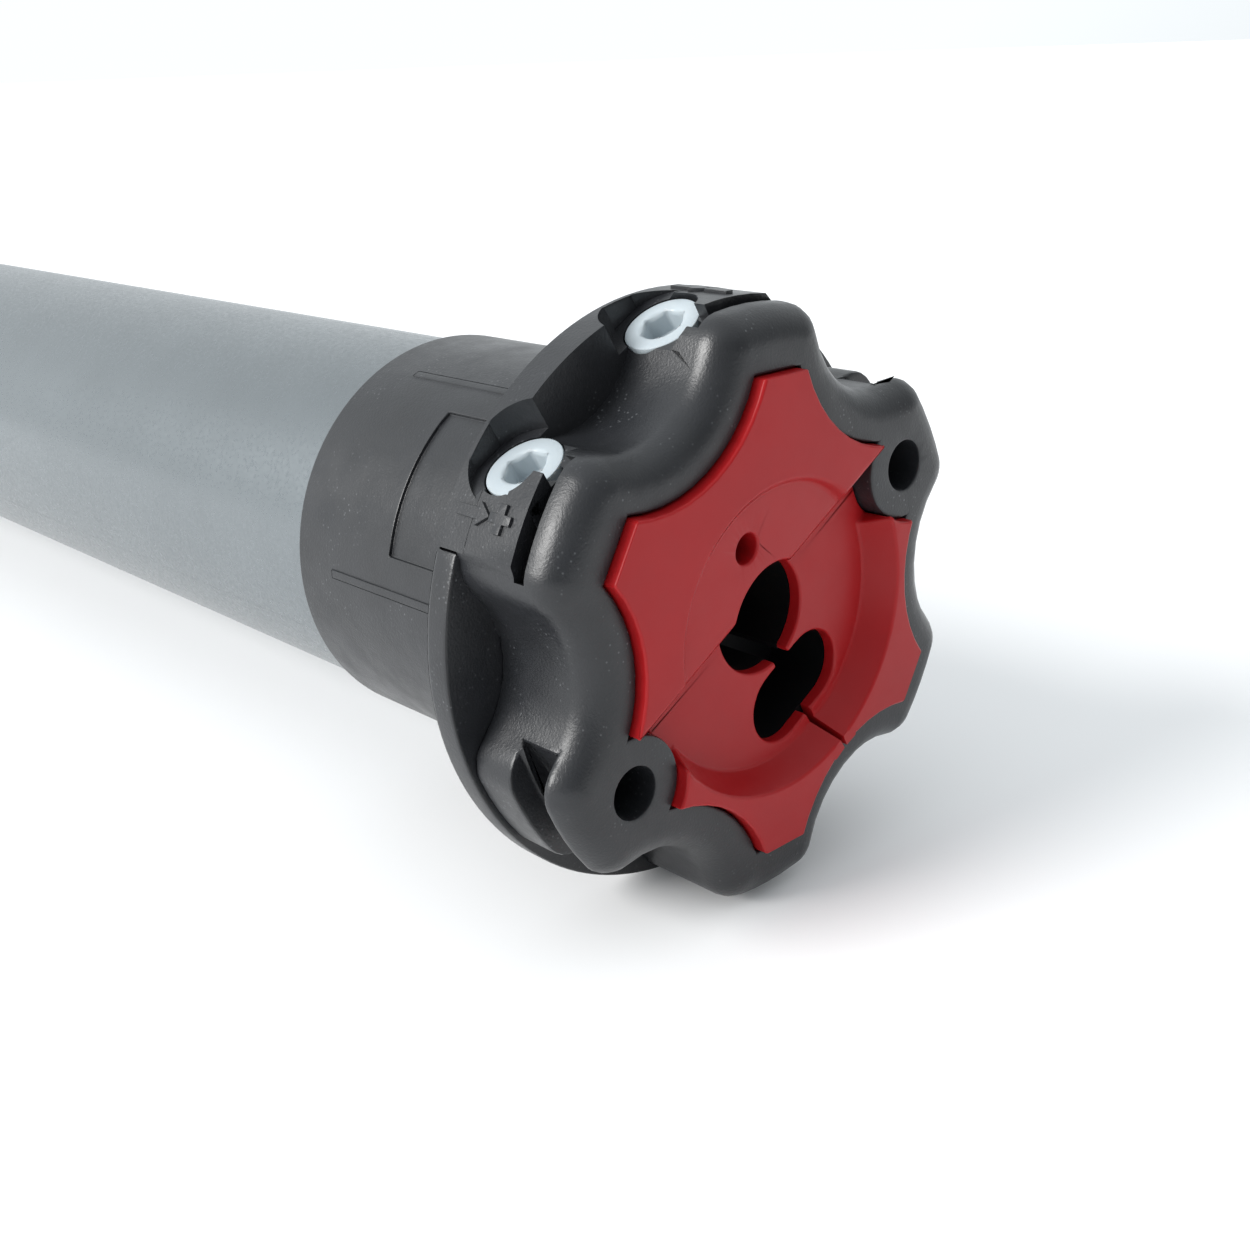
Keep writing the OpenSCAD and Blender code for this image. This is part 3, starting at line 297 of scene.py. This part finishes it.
class Surface:
    """A procedural finish on object coordinates, built a layer at a time."""

    def __init__(self, name):
        self.mat = bpy.data.materials.new(name)
        self.mat.use_nodes = True
        self.tree = self.mat.node_tree
        self.shader = self.tree.nodes["Principled BSDF"]
        self.coords = self.tree.nodes.new("ShaderNodeTexCoord").outputs["Object"]
        self.normal = None

    def node(self, kind, **values):
        made = self.tree.nodes.new(kind)
        for key, value in values.items():
            setattr(made, key, value)
        return made

    def stretched(self, scale):
        made = self.node("ShaderNodeMapping")
        made.inputs["Scale"].default_value = scale
        self.tree.links.new(self.coords, made.inputs["Vector"])
        return made.outputs["Vector"]

    def noise(self, scale, detail=3, rough=0.5, at=None):
        made = self.node("ShaderNodeTexNoise")
        made.inputs["Scale"].default_value = scale
        made.inputs["Detail"].default_value = detail
        made.inputs["Roughness"].default_value = rough
        self.tree.links.new(at or self.coords, made.inputs["Vector"])
        return made.outputs["Fac"]

    def cells(self, scale):
        made = self.node("ShaderNodeTexVoronoi", feature="F1")
        made.inputs["Scale"].default_value = scale
        self.tree.links.new(self.coords, made.inputs["Vector"])
        return made.outputs["Distance"]

    def bands(self, scale, axis="X", at=None):
        made = self.node("ShaderNodeTexWave", wave_type="BANDS", bands_direction=axis, wave_profile="SIN")
        made.inputs["Scale"].default_value = scale
        self.tree.links.new(at or self.coords, made.inputs["Vector"])
        return made.outputs["Fac"]

    def spread(self, value, low, high, to_low=0.0, to_high=1.0):
        made = self.node("ShaderNodeMapRange")
        made.inputs["From Min"].default_value = low
        made.inputs["From Max"].default_value = high
        made.inputs["To Min"].default_value = to_low
        made.inputs["To Max"].default_value = to_high
        self.tree.links.new(value, made.inputs["Value"])
        return made.outputs["Result"]

    def blend(self, amount, first, second):
        made = self.node("ShaderNodeMix", data_type="RGBA")
        self.tree.links.new(amount, made.inputs["Factor"])
        for key, colour in ((6, first), (7, second)):
            if isinstance(colour, bpy.types.NodeSocket):
                self.tree.links.new(colour, made.inputs[key])
            else:
                made.inputs[key].default_value = (*colour, 1)
        return made.outputs[2]

    def product(self, first, second):
        made = self.node("ShaderNodeMath", operation="MULTIPLY")
        self.tree.links.new(first, made.inputs[0])
        self.tree.links.new(second, made.inputs[1])
        return made.outputs[0]

    def colour(self, socket):
        self.tree.links.new(socket, self.shader.inputs["Base Color"])

    def rough(self, socket):
        self.tree.links.new(socket, self.shader.inputs["Roughness"])

    def relief(self, height, strength, depth):
        made = self.node("ShaderNodeBump")
        made.inputs["Strength"].default_value = strength
        made.inputs["Distance"].default_value = depth
        self.tree.links.new(height, made.inputs["Height"])
        if self.normal:
            self.tree.links.new(self.normal, made.inputs["Normal"])
        self.normal = made.outputs["Normal"]
        self.tree.links.new(self.normal, self.shader.inputs["Normal"])

    def set(self, **values):
        for key, value in values.items():
            self.shader.inputs[key.replace("_", " ").title().replace("Ior", "IOR")].default_value = value


def shade(colour, factor):
    return tuple(min(1.0, c * factor) for c in colour)


def toward(colour, other, share):
    return tuple(a * (1 - share) + b * share for a, b in zip(colour, other))


def plastic(name, colour, rough=0.42, grain=5200, relief=0.25, dust=0.0, mottle=0.25):
    """Moulded plastic: cloudy colour, spark-eroded grain, a little dust and uneven gloss."""
    s = Surface(name)
    cloud = s.noise(90, 4, 0.6)
    base = s.blend(s.spread(cloud, 0.3, 0.7), shade(colour, 1 - mottle), shade(colour, 1 + mottle))
    if dust:
        specks = s.spread(s.cells(1500), 0.0, 0.22, 1, 0)
        thin = s.product(specks, s.spread(s.noise(160, 3), 0.48, 0.7, 0, dust))
        base = s.blend(thin, base, toward(colour, (0.6, 0.62, 0.65), 0.6))
    s.colour(base)
    s.rough(s.spread(s.noise(240, 5, 0.65), 0.3, 0.72, rough * 0.82, rough * 1.2))
    s.relief(s.noise(grain, 2, 0.6), relief, 0.00004)
    s.relief(s.noise(320, 3, 0.5), relief * 0.35, 0.00012)
    return s


def metal(name, colour, rough=0.34, stretch=(1, 1, 1), grain=2600, relief=0.2, metallic=1.0,
          tarnish=0.12):
    """Bare metal: cloudy tarnish, a grain that can be drawn out along an axis, uneven gloss."""
    s = Surface(name)
    s.set(metallic=metallic)
    drawn = s.stretched(stretch)
    fine = s.noise(grain, 3, 0.6, at=drawn)
    cloud = s.noise(70, 5, 0.6)
    base = s.blend(s.spread(cloud, 0.3, 0.72), shade(colour, 1 - tarnish), shade(colour, 1 + tarnish))
    base = s.blend(s.spread(fine, 0.35, 0.7, 0, 0.35), base, shade(colour, 0.72))
    s.colour(base)
    s.rough(s.spread(fine, 0.3, 0.7, rough * 0.8, rough * 1.25))
    s.relief(fine, relief, 0.00003)
    return s


def make_finishes():
    """One procedural finish for each of the record's material slots."""
    c = colours()
    made = {}
    black = plastic("Black moulding", tuple(c.black), rough=0.36, grain=3600, relief=0.8, dust=0.4,
                    mottle=0.2)
    black.set(specular_ior_level=0.48)
    made["black_moulding"] = black.mat
    # Painted shade: the insert in the cable hole is darkened to a quarter of the black moulding, standing
    # in for the shade inside the hole
    insert = plastic("Black insert", shade(tuple(c.black), 0.25), rough=0.6, grain=5200, relief=0.2,
                     mottle=0.2)
    insert.set(specular_ior_level=0.12)
    made["black_insert"] = insert.mat

    red = plastic("Red plate", tuple(c.red), rough=0.36, grain=3600, relief=0.12, mottle=0.05)
    red.set(specular_ior_level=0.25, subsurface_weight=0.12, subsurface_scale=0.0012,
            subsurface_radius=(1.0, 0.12, 0.1))
    made["red_plate"] = red.mat
    white = plastic("White adjuster", tuple(c.white), rough=0.36, grain=4200, relief=0.1, mottle=0.04)
    white.set(subsurface_weight=0.25, subsurface_scale=0.001, subsurface_radius=(1.0, 0.9, 0.8))
    made["white_adjuster"] = white.mat
    natural = plastic("Natural nylon", (0.74, 0.71, 0.62), rough=0.44, relief=0.15, mottle=0.06)
    natural.set(subsurface_weight=0.2, subsurface_scale=0.0015)
    made["natural_plastic"] = natural.mat
    made["follower_red"] = plastic("Red follower", (0.55, 0.10, 0.05), rough=0.42, mottle=0.08).mat
    made["follower_blue"] = plastic("Blue follower", (0.05, 0.16, 0.5), rough=0.42, mottle=0.08).mat
    made["lead_sleeve"] = plastic("Lead sleeve", (0.30, 0.045, 0.03), rough=0.5, grain=1800,
                                  relief=0.2).mat
    made["lining"] = plastic("Friction lining", (0.075, 0.05, 0.04), rough=0.85, grain=1400, relief=0.7,
                             mottle=0.5).mat

    tube = metal("Tube steel", tuple(c.steel), rough=0.3, grain=1900, relief=0.22, metallic=0.95,
                 tarnish=0.05)
    made["tube_steel"] = tube.mat
    made["steel"] = metal("Turned steel", (0.40, 0.41, 0.43), rough=0.32, stretch=(6, 1, 1)).mat
    made["sintered_steel"] = metal("Sintered steel", (0.40, 0.41, 0.43), rough=0.42, grain=3400,
                                   relief=0.4).mat
    made["die_cast"] = metal("Die-cast alloy", (0.36, 0.37, 0.39), rough=0.46, grain=1500, relief=0.35,
                             metallic=0.9).mat
    made["brass"] = metal("Brass", (0.78, 0.56, 0.22), rough=0.3, stretch=(5, 1, 1)).mat
    made["spindle_brass"] = metal("Spindle brass", (0.72, 0.57, 0.30), rough=0.3, stretch=(4, 1, 1)).mat
    made["bronze_bush"] = metal("Sintered bronze", (0.60, 0.40, 0.19), rough=0.45, grain=3800,
                                relief=0.4).mat
    made["capacitor_can"] = plastic("Capacitor can", (0.62, 0.63, 0.65), rough=0.35, relief=0.08,
                                    mottle=0.04).mat
    made["spring_steel"] = metal("Spring steel", (0.62, 0.63, 0.66), rough=0.24, stretch=(1, 5, 5)).mat

    sheets = metal("Stacked laminations", (0.30, 0.31, 0.33), rough=0.42, stretch=(14, 1, 1))
    sheets.relief(sheets.bands(640, "X"), 0.6, 0.00012)
    made["laminations"] = sheets.mat
    wire = Surface("Enamelled copper")
    wire.set(metallic=0.9, coat_weight=0.6, coat_roughness=0.2)
    strands = wire.bands(520, "DIAGONAL", at=wire.stretched((0.35, 1, 1)))
    # Painted shade and highlight: the copper is dark in the grooves between turns and bright on their
    # crests, in step with the bump
    strand_shading = wire.blend(wire.spread(strands, 0.1, 0.9), (0.26, 0.09, 0.03), (0.66, 0.28, 0.12))
    wire.colour(wire.blend(wire.spread(wire.noise(140, 4), 0.35, 0.7, 0, 0.5), strand_shading, (0.42, 0.15, 0.06)))
    wire.rough(wire.spread(wire.noise(600, 3), 0.3, 0.7, 0.24, 0.42))
    wire.relief(strands, 0.8, 0.0003)
    made["copper_winding"] = wire.mat
    return made


FINISH = {}
SLOT_OF = {}


def slot_of(node):
    materials = NODES[node].data.materials
    return materials[0].name.split(".")[0] if materials else "black_moulding"


class MOTOR_OT_finishes(bpy.types.Operator):
    """Makes every finish and lays it on the CAD nodes that keep their own shape"""

    bl_idname = "motor.finishes"
    bl_label = "Finishes"

    def execute(self, context):
        for entry in frame["record"]["materials"]:
            for node in entry.get("nodes", []):
                SLOT_OF[node] = entry["slot"]
        FINISH.update(make_finishes())
        for node, obj in NODES.items():
            slot = SLOT_OF.get(node, slot_of(node))
            if slot not in FINISH:
                raise RuntimeError(f"no finish for the slot {slot!r} of {node}")
            SLOT_OF[node] = slot
            if obj.data.materials:
                for k in range(len(obj.data.materials)):
                    obj.data.materials[k] = FINISH[slot]
            else:
                obj.data.materials.append(FINISH[slot])
        return {"FINISHED"}


def in_place(obj, node, angle=38):
    """Shades a piece that has its shape, and gives it the node's place."""
    smooth(obj, angle)
    stand_for(obj, node, FINISH[SLOT_OF[node]])


def finished(obj, node, width, segments=2, test=every_edge, least=25):
    """Rounds a piece that has its shape, and gives it the node's place."""
    round_edges(obj, width, test, segments, least)
    in_place(obj, node)


def dressed(node, width, segments=2, test=every_edge, least=25):
    """A CAD node's copy with rounded edges and even shading, in the node's place."""
    finished(solid_copy(node, node + "_piece"), node, width, segments, test, least)


def on_head(obj):
    """Shades a piece of detail that belongs to the head moulding."""
    smooth(obj)
    obj.data.materials.append(FINISH["black_moulding"])
    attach(obj, body_of("head_housing"))


def by_adjusters(own):
    """Whether a point in the head's own axes leans as the two adjuster lobes do."""
    lean = abs(math.degrees(math.atan2(own.y, own.z)))
    return ADJUSTER_LEANS[0] < lean < ADJUSTER_LEANS[1]


def raise_pads(obj):
    """Draws the adjuster lobes' outside out to the flange's radius, flush with the sector."""
    near = 0.06 * MM
    net = edit(obj, "VERT")
    for v in net.verts:
        own = to_own(v.co)
        on_lobe = abs(math.hypot(own.y, own.z) - LOBE_RADIUS) < near
        v.select_set(on_lobe and PAD_X[0] < own.x < PAD_X[1] and by_adjusters(own))
    bmesh.update_edit_mesh(obj.data)
    grow = PAD_RADIUS / LOBE_RADIUS
    bpy.ops.transform.resize(value=(1, grow, grow), center_override=(0, 0, 0))
    bpy.ops.mesh.select_all(action="SELECT")
    bpy.ops.mesh.remove_doubles(threshold=WELD)
    done(obj)


def narrow_slots(obj):
    """Moves the back wall of the slots in front of the adjusters towards the plate."""
    near = 0.03 * MM
    above = 15 * MM
    net = edit(obj, "VERT")
    for v in net.verts:
        own = to_own(v.co)
        on_wall = abs(own.x - SLOT_BACK) < near
        outer = own.z > above and math.hypot(own.y, own.z) > SLOT_FLOOR_RADIUS
        v.select_set(on_wall and outer and by_adjusters(own))
    bmesh.update_edit_mesh(obj.data)
    bpy.ops.transform.translate(value=(SLOT_NARROWER, 0, 0))
    done(obj)


def block(name, low, high, turn=TURN):
    """A box between two corners in the head's own axes."""
    bpy.ops.object.select_all(action="DESELECT")
    middle = (Vector(low) + Vector(high)) / 2
    bpy.ops.mesh.primitive_cube_add(size=1, location=middle, scale=Vector(high) - Vector(low))
    obj = bpy.context.object
    obj.name = name
    settle(obj)
    obj.matrix_world = turn.copy()
    settle(obj)
    return obj


def rod(name, radius, length, middle, turn, vertices=64):
    """A round bar about its own Z axis, turned in the head's own axes."""
    bpy.ops.object.select_all(action="DESELECT")
    bpy.ops.mesh.primitive_cylinder_add(vertices=vertices, radius=radius, depth=length)
    obj = bpy.context.object
    obj.name = name
    obj.matrix_world = TURN @ Matrix.Translation(middle) @ turn
    settle(obj)
    return obj


def combine(obj, tool, kind):
    """Joins, cuts or keeps what obj shares with the tool, which is then removed."""
    pick(obj)
    made = obj.modifiers.new(kind.title(), "BOOLEAN")
    made.operation = kind
    made.solver = "EXACT"
    made.object = tool
    bpy.ops.object.modifier_apply(modifier=made.name)
    bpy.data.objects.remove(tool, do_unlink=True)


def slot_wall(side):
    """The wall that parts an adjuster's pocket from the slot in front of it."""
    low, high = sorted(side * y for y in WALL_Y)
    wall = block("slot_wall", (WALL_BACK, low, WALL_Z[0]), (SLOT_BACK + SLOT_NARROWER, high, WALL_Z[1]))
    outside = rod("tool", PAD_RADIUS, 30 * MM, (-8 * MM, 0, 0), ACROSS, 192)
    combine(wall, outside, "INTERSECT")
    pocket = rod("tool", POCKET_RADIUS, 20 * MM, (ADJUSTER_X, side * ADJUSTER_Y, 30 * MM), Matrix())
    combine(wall, pocket, "DIFFERENCE")
    return wall


def deepen_nut_slot(head, side):
    """Cuts the outer end of the slot beside a fixing boss further in."""
    low, high = sorted(side * y for y in NUT_SLOT_Y)
    tool = block("tool", (NUT_SLOT_X[0], low, NUT_SLOT_Z[0]), (NUT_SLOT_X[1], high, NUT_SLOT_Z[1]))
    combine(head, tool, "DIFFERENCE")


def open_moulding_edge(at, e):
    """Whether an edge of the head is clear of the flange, the pockets and the slots."""
    own = to_own(at)
    off = math.hypot(own.x - ADJUSTER_X, abs(own.y) - ADJUSTER_Y)
    in_pocket = own.z > 20 * MM and off < POCKET_EDGE
    by_slot = own.z > 15 * MM and own.x < SLOT_FRONT and math.hypot(own.y, own.z) > SLOT_INNER
    long_enough = e.calc_length() > 0.02 * MM
    return at.x > FLANGE_FACE and not in_pocket and not by_slot and long_enough


class MOTOR_OT_head(bpy.types.Operator):
    """Rounds the lobed head moulding and the round flange behind it"""

    bl_idname = "motor.head"
    bl_label = "Head and flange"

    def execute(self, context):
        edge = sizes().edge
        head = solid_copy("head_housing", "head_housing_piece")
        raise_pads(head)
        narrow_slots(head)
        for side in (-1, 1):
            deepen_nut_slot(head, side)
        finished(head, "head_housing", edge, test=open_moulding_edge)
        for side, word in ((-1, "up"), (1, "down")):
            wall = slot_wall(side)
            wall.name = f"slot_wall_{word}"
            on_head(wall)
        dressed("head_base", edge, test=lambda at, e: math.hypot(at.y, at.z) > FLANGE_INNER)
        return {"FINISHED"}


class MOTOR_OT_plate(bpy.types.Operator):
    """Rounds the edges of the front plate"""

    bl_idname = "motor.plate"
    bl_label = "Front plate"

    def execute(self, context):
        def free_of_slit(at, e):
            own = to_own(at)
            in_slit = abs(own.y) < SLIT_HALF_WIDTH and own.z < SLIT_TOP
            return not in_slit and at.x > PLATE_BACK

        dressed("front_plate", sizes().plate_edge, segments=3, least=15, test=free_of_slit)
        return {"FINISHED"}


def push(obj, test, move, grow=(1, 1, 1)):
    """Extrudes the faces that pass the test, then scales them."""
    net = edit(obj, "FACE")
    for face in net.faces:
        face.select_set(test(face))
    bmesh.update_edit_mesh(obj.data)
    bpy.ops.mesh.extrude_region_move(TRANSFORM_OT_translate={"value": move})
    bpy.ops.transform.resize(value=grow)
    done(obj)


def bar(name, length, width, height):
    bpy.ops.object.select_all(action="DESELECT")
    bpy.ops.mesh.primitive_cube_add(size=1, location=(0, 0, 0), scale=(length, width, height))
    obj = bpy.context.object
    obj.name = name
    settle(obj)
    return obj


def arrow_mark(height):
    """An arrow along X: the shaft's end face spreads and then runs to a point."""
    obj = bar("arrow_mark", 3 * MM, 1.15 * MM, height)
    push(obj, lambda f: f.normal.x > 0.9, (0.02 * MM, 0, 0), (1, 2.05, 1))
    push(obj, lambda f: f.normal.x > 0.9, (1.5 * MM, 0, 0), (1, 0.06, 1))
    return obj, ARROW_X


def plus_mark(height):
    """A plus: a short block whose four sides are drawn out."""
    obj = bar("plus_mark", 0.95 * MM, 0.95 * MM, height)
    arm = 1.0 * MM
    for way in ((1, 0), (-1, 0), (0, 1), (0, -1)):
        def on_side(face):
            middle = face.calc_center_median()
            facing = face.normal.x * way[0] + face.normal.y * way[1] > 0.9
            return facing and abs(middle.x) + abs(middle.y) < 0.5 * MM

        push(obj, on_side, (way[0] * arm, way[1] * arm, 0))
    return obj, SIGN_X


def minus_mark(height):
    return bar("minus_mark", 3 * MM, 1.0 * MM, height), SIGN_X


def on_pad(obj, x, angle):
    """Lays a mark on the adjuster lobes' outside, at an angle in the head's own axes."""
    turned = math.radians(angle)
    obj.location = TURN @ Vector((x, PAD_RADIUS * math.cos(turned), PAD_RADIUS * math.sin(turned)))
    obj.rotation_euler.x = turned - math.pi / 2 + HEAD_TURN
    settle(obj)


class MOTOR_OT_marks(bpy.types.Operator):
    """Models the raised arrows and the plus and minus signs beside the adjusters"""

    bl_idname = "motor.marks"
    bl_label = "Adjuster signs"

    def execute(self, context):
        height = 2 * sizes().mark_height
        for side, angle, signs in (("up", MARK_ANGLE, (arrow_mark, plus_mark)),
                                   ("down", 180 - MARK_ANGLE, (arrow_mark, minus_mark))):
            for sign in signs:
                obj, x = sign(height)
                obj.name = f"{obj.name}_{side}"
                on_pad(obj, x, angle)
                round_edges(obj, SIGN_EDGE)
                on_head(obj)
        return {"FINISHED"}


class MOTOR_OT_adjusters(bpy.types.Operator):
    """Rounds the two white adjusters"""

    bl_idname = "motor.adjusters"
    bl_label = "Limit adjusters"

    def execute(self, context):
        for node in ("adjuster_up", "adjuster_down"):
            dressed(node, ADJUSTER_EDGE)
        return {"FINISHED"}


class MOTOR_OT_crown(bpy.types.Operator):
    """Rounds the crown ring"""

    bl_idname = "motor.crown"
    bl_label = "Crown ring"

    def execute(self, context):
        dressed("crown_ring", CROWN_EDGE, test=lambda at, e: math.hypot(at.y, at.z) > CROWN_INNER)
        return {"FINISHED"}


class MOTOR_OT_tube(bpy.types.Operator):
    """Smooths the motor tube"""

    bl_idname = "motor.tube"
    bl_label = "Motor tube"

    def execute(self, context):
        dressed("motor_tube", sizes().metal_edge)
        return {"FINISHED"}


def own_points(obj):
    """A piece's vertices in the head's own axes."""
    return [to_own(v.co) for v in obj.data.vertices]


def cross_tool(along, top, turn):
    """A cross-shaped tool, RECESS_DEPTH deep below the radius top."""
    arms = []
    for half_x, half_y in ((RECESS_ARM, RECESS_HALF_WIDTH), (RECESS_HALF_WIDTH, RECESS_ARM)):
        low = (along - half_x, -half_y, top - RECESS_DEPTH)
        high = (along + half_x, half_y, top + 1 * MM)
        arms.append(block("tool", low, high, turn))
    combine(arms[0], arms[1], "UNION")
    return arms[0]


class MOTOR_OT_rear(bpy.types.Operator):
    """Rounds the rear end cap and its bush and cuts the cross recesses of its three screws"""

    bl_idname = "motor.rear"
    bl_label = "Rear end"

    def execute(self, context):
        metal_edge = sizes().metal_edge
        screws = solid_copy("end_cap_screws", "end_cap_screws_piece")
        own = own_points(screws)
        along = (min(p.x for p in own) + max(p.x for p in own)) / 2
        top = max(math.hypot(p.y, p.z) for p in own)
        for angle in CAP_SCREW_ANGLES:
            turn = TURN @ Matrix.Rotation(math.radians(angle), 4, "X")
            combine(screws, cross_tool(along, top, turn), "DIFFERENCE")
        in_place(screws, "end_cap_screws")

        far = min(v.co.x for v in NODES["output_end_cap"].data.vertices)
        dressed("output_end_cap", 2 * metal_edge, test=lambda at, e: at.x < far + 3 * MM)
        dressed("output_bearing", metal_edge)
        return {"FINISHED"}


def coil(name, radius, pitch, length, size):
    """A helical bar about Z: a small lozenge drawn round and along by a screw modifier."""
    bpy.ops.object.select_all(action="DESELECT")
    bpy.ops.mesh.primitive_circle_add(vertices=4, radius=size, fill_type="NGON", location=(0, 0, 0))
    obj = bpy.context.object
    obj.name = name
    obj.matrix_world = Matrix.Translation((radius, 0, -length / 2)) @ Matrix.Rotation(math.pi / 2, 4, "X")
    settle(obj)
    turned = obj.modifiers.new("Thread", "SCREW")
    turned.angle = math.tau
    turned.screw_offset = pitch
    turned.iterations = round(length / pitch)
    turned.steps = THREAD_STEPS
    turned.render_steps = THREAD_STEPS
    bpy.ops.object.modifier_apply(modifier=turned.name)
    edit(obj)
    bpy.ops.mesh.select_all(action="SELECT")
    bpy.ops.mesh.fill_holes(sides=4)
    bpy.ops.mesh.normals_make_consistent(inside=False)
    done(obj)
    return obj


class MOTOR_OT_threads(bpy.types.Operator):
    """Cuts the thread along each limit spindle"""

    bl_idname = "motor.threads"
    bl_label = "Spindle threads"

    def execute(self, context):
        for node in ("limit_spindle_up", "limit_spindle_down"):
            spindle = solid_copy(node, node + "_piece")
            own = own_points(spindle)
            start = min(p.x for p in own)
            end_face = [p for p in own if p.x < start + 0.01 * MM]
            centre = sum(end_face, Vector()) / len(end_face)
            radius = max((p - centre).length for p in end_face)
            thread = coil("tool", radius, THREAD_PITCH, THREAD_LENGTH, THREAD_DEPTH)
            middle = (start + THREAD_FROM_END + THREAD_LENGTH / 2, centre.y, centre.z)
            thread.matrix_world = TURN @ Matrix.Translation(middle) @ ACROSS
            settle(thread)
            combine(spindle, thread, "DIFFERENCE")
            in_place(spindle, node, angle=30)
        return {"FINISHED"}


class MOTOR_OT_stage(bpy.types.Operator):
    """Sets the pale floor, the soft lights and the camera"""

    bl_idname = "motor.stage"
    bl_label = "Stage, light and camera"

    def execute(self, context):
        bpy.ops.object.select_all(action="DESELECT")
        bpy.ops.mesh.primitive_plane_add(size=FLOOR_SIZE, location=(0, 0, CAD_BOX[0].z - FLOOR_GAP))
        floor = bpy.context.object
        floor.name = "floor"
        s = Surface("Pale floor")
        s.colour(s.blend(s.spread(s.noise(3, 2), 0.3, 0.7), (0.86, 0.86, 0.865), (0.885, 0.885, 0.89)))
        s.rough(s.spread(s.noise(12, 2), 0.3, 0.7, 0.72, 0.82))
        s.set(emission_color=(0.94, 0.97, 1.0, 1), emission_strength=0.05)
        floor.data.materials.append(s.mat)
        settle(floor)

        world = bpy.data.worlds.new("Soft room")
        world.use_nodes = True
        tree = world.node_tree
        back = tree.nodes["Background"]
        back.inputs["Color"].default_value = (0.93, 0.975, 1.0, 1)
        way = tree.nodes.new("ShaderNodeTexCoord")
        toward_sky = tree.nodes.new("ShaderNodeVectorMath")
        toward_sky.operation = "DOT_PRODUCT"
        toward_sky.inputs[1].default_value = SKY_FROM
        darker = tree.nodes.new("ShaderNodeMapRange")
        for key, value in SKY_SHADE:
            darker.inputs[key].default_value = value
        tree.links.new(way.outputs["Generated"], toward_sky.inputs[0])
        tree.links.new(toward_sky.outputs["Value"], darker.inputs["Value"])
        tree.links.new(darker.outputs["Result"], back.inputs["Strength"])
        context.scene.world = world

        sun = bpy.data.lights.new("key", "SUN")
        sun.energy = KEY_STRENGTH
        sun.angle = KEY_WIDTH
        sun.color = (1.0, 0.99, 0.975)
        key = bpy.data.objects.new("key", sun)
        context.scene.collection.objects.link(key)
        key.rotation_euler = (-Vector(KEY_FROM)).to_track_quat("-Z", "Y").to_euler()

        right = Vector(CAMERA_RIGHT).normalized()
        ahead = Vector(CAMERA_AHEAD).normalized()
        up = right.cross(ahead).normalized()
        lens = bpy.data.cameras.new("Photo camera")
        lens.lens = LENS
        lens.sensor_width = 36
        lens.clip_start = 0.01
        camera = bpy.data.objects.new("Photo camera", lens)
        context.scene.collection.objects.link(camera)
        turn = Matrix((right, up, -ahead)).transposed()
        camera.matrix_world = Matrix.Translation(CAMERA_AT) @ turn.to_4x4()
        context.scene.camera = camera
        context.scene.view_settings.view_transform = "Standard"
        return {"FINISHED"}


class MOTOR_PT_panel(bpy.types.Panel):
    """Lists the motor's pieces"""

    bl_label = "Blind motor"
    bl_idname = "MOTOR_PT_panel"
    bl_space_type = "VIEW_3D"
    bl_region_type = "UI"
    bl_category = "Blind motor"

    def draw(self, context):
        for group in (context.scene.motor_sizes, context.scene.motor_colours):
            for key in group.bl_rna.properties.keys():
                if key not in {"rna_type", "name"}:
                    self.layout.prop(group, key)
        for operator in OPERATORS:
            self.layout.operator(operator.bl_idname)


OPERATORS = (
    MOTOR_OT_finishes, MOTOR_OT_head, MOTOR_OT_marks, MOTOR_OT_plate, MOTOR_OT_adjusters,
    MOTOR_OT_crown, MOTOR_OT_tube, MOTOR_OT_rear, MOTOR_OT_threads, MOTOR_OT_stage)
GROUPS = (MotorSizes, MotorColours)


def register():
    for item in GROUPS + OPERATORS + (MOTOR_PT_panel,):
        bpy.utils.register_class(item)
    bpy.types.Scene.motor_sizes = bpy.props.PointerProperty(type=MotorSizes)
    bpy.types.Scene.motor_colours = bpy.props.PointerProperty(type=MotorColours)


def unregister():
    del bpy.types.Scene.motor_colours
    del bpy.types.Scene.motor_sizes
    for item in reversed(GROUPS + OPERATORS + (MOTOR_PT_panel,)):
        bpy.utils.unregister_class(item)


def main():
    register()
    bpy.ops.motor.finishes()
    bpy.ops.motor.head()
    bpy.ops.motor.marks()
    bpy.ops.motor.plate()
    bpy.ops.motor.adjusters()
    bpy.ops.motor.crown()
    bpy.ops.motor.tube()
    bpy.ops.motor.rear()
    bpy.ops.motor.threads()
    bpy.ops.motor.stage()


if __name__ == "__main__":
    main()
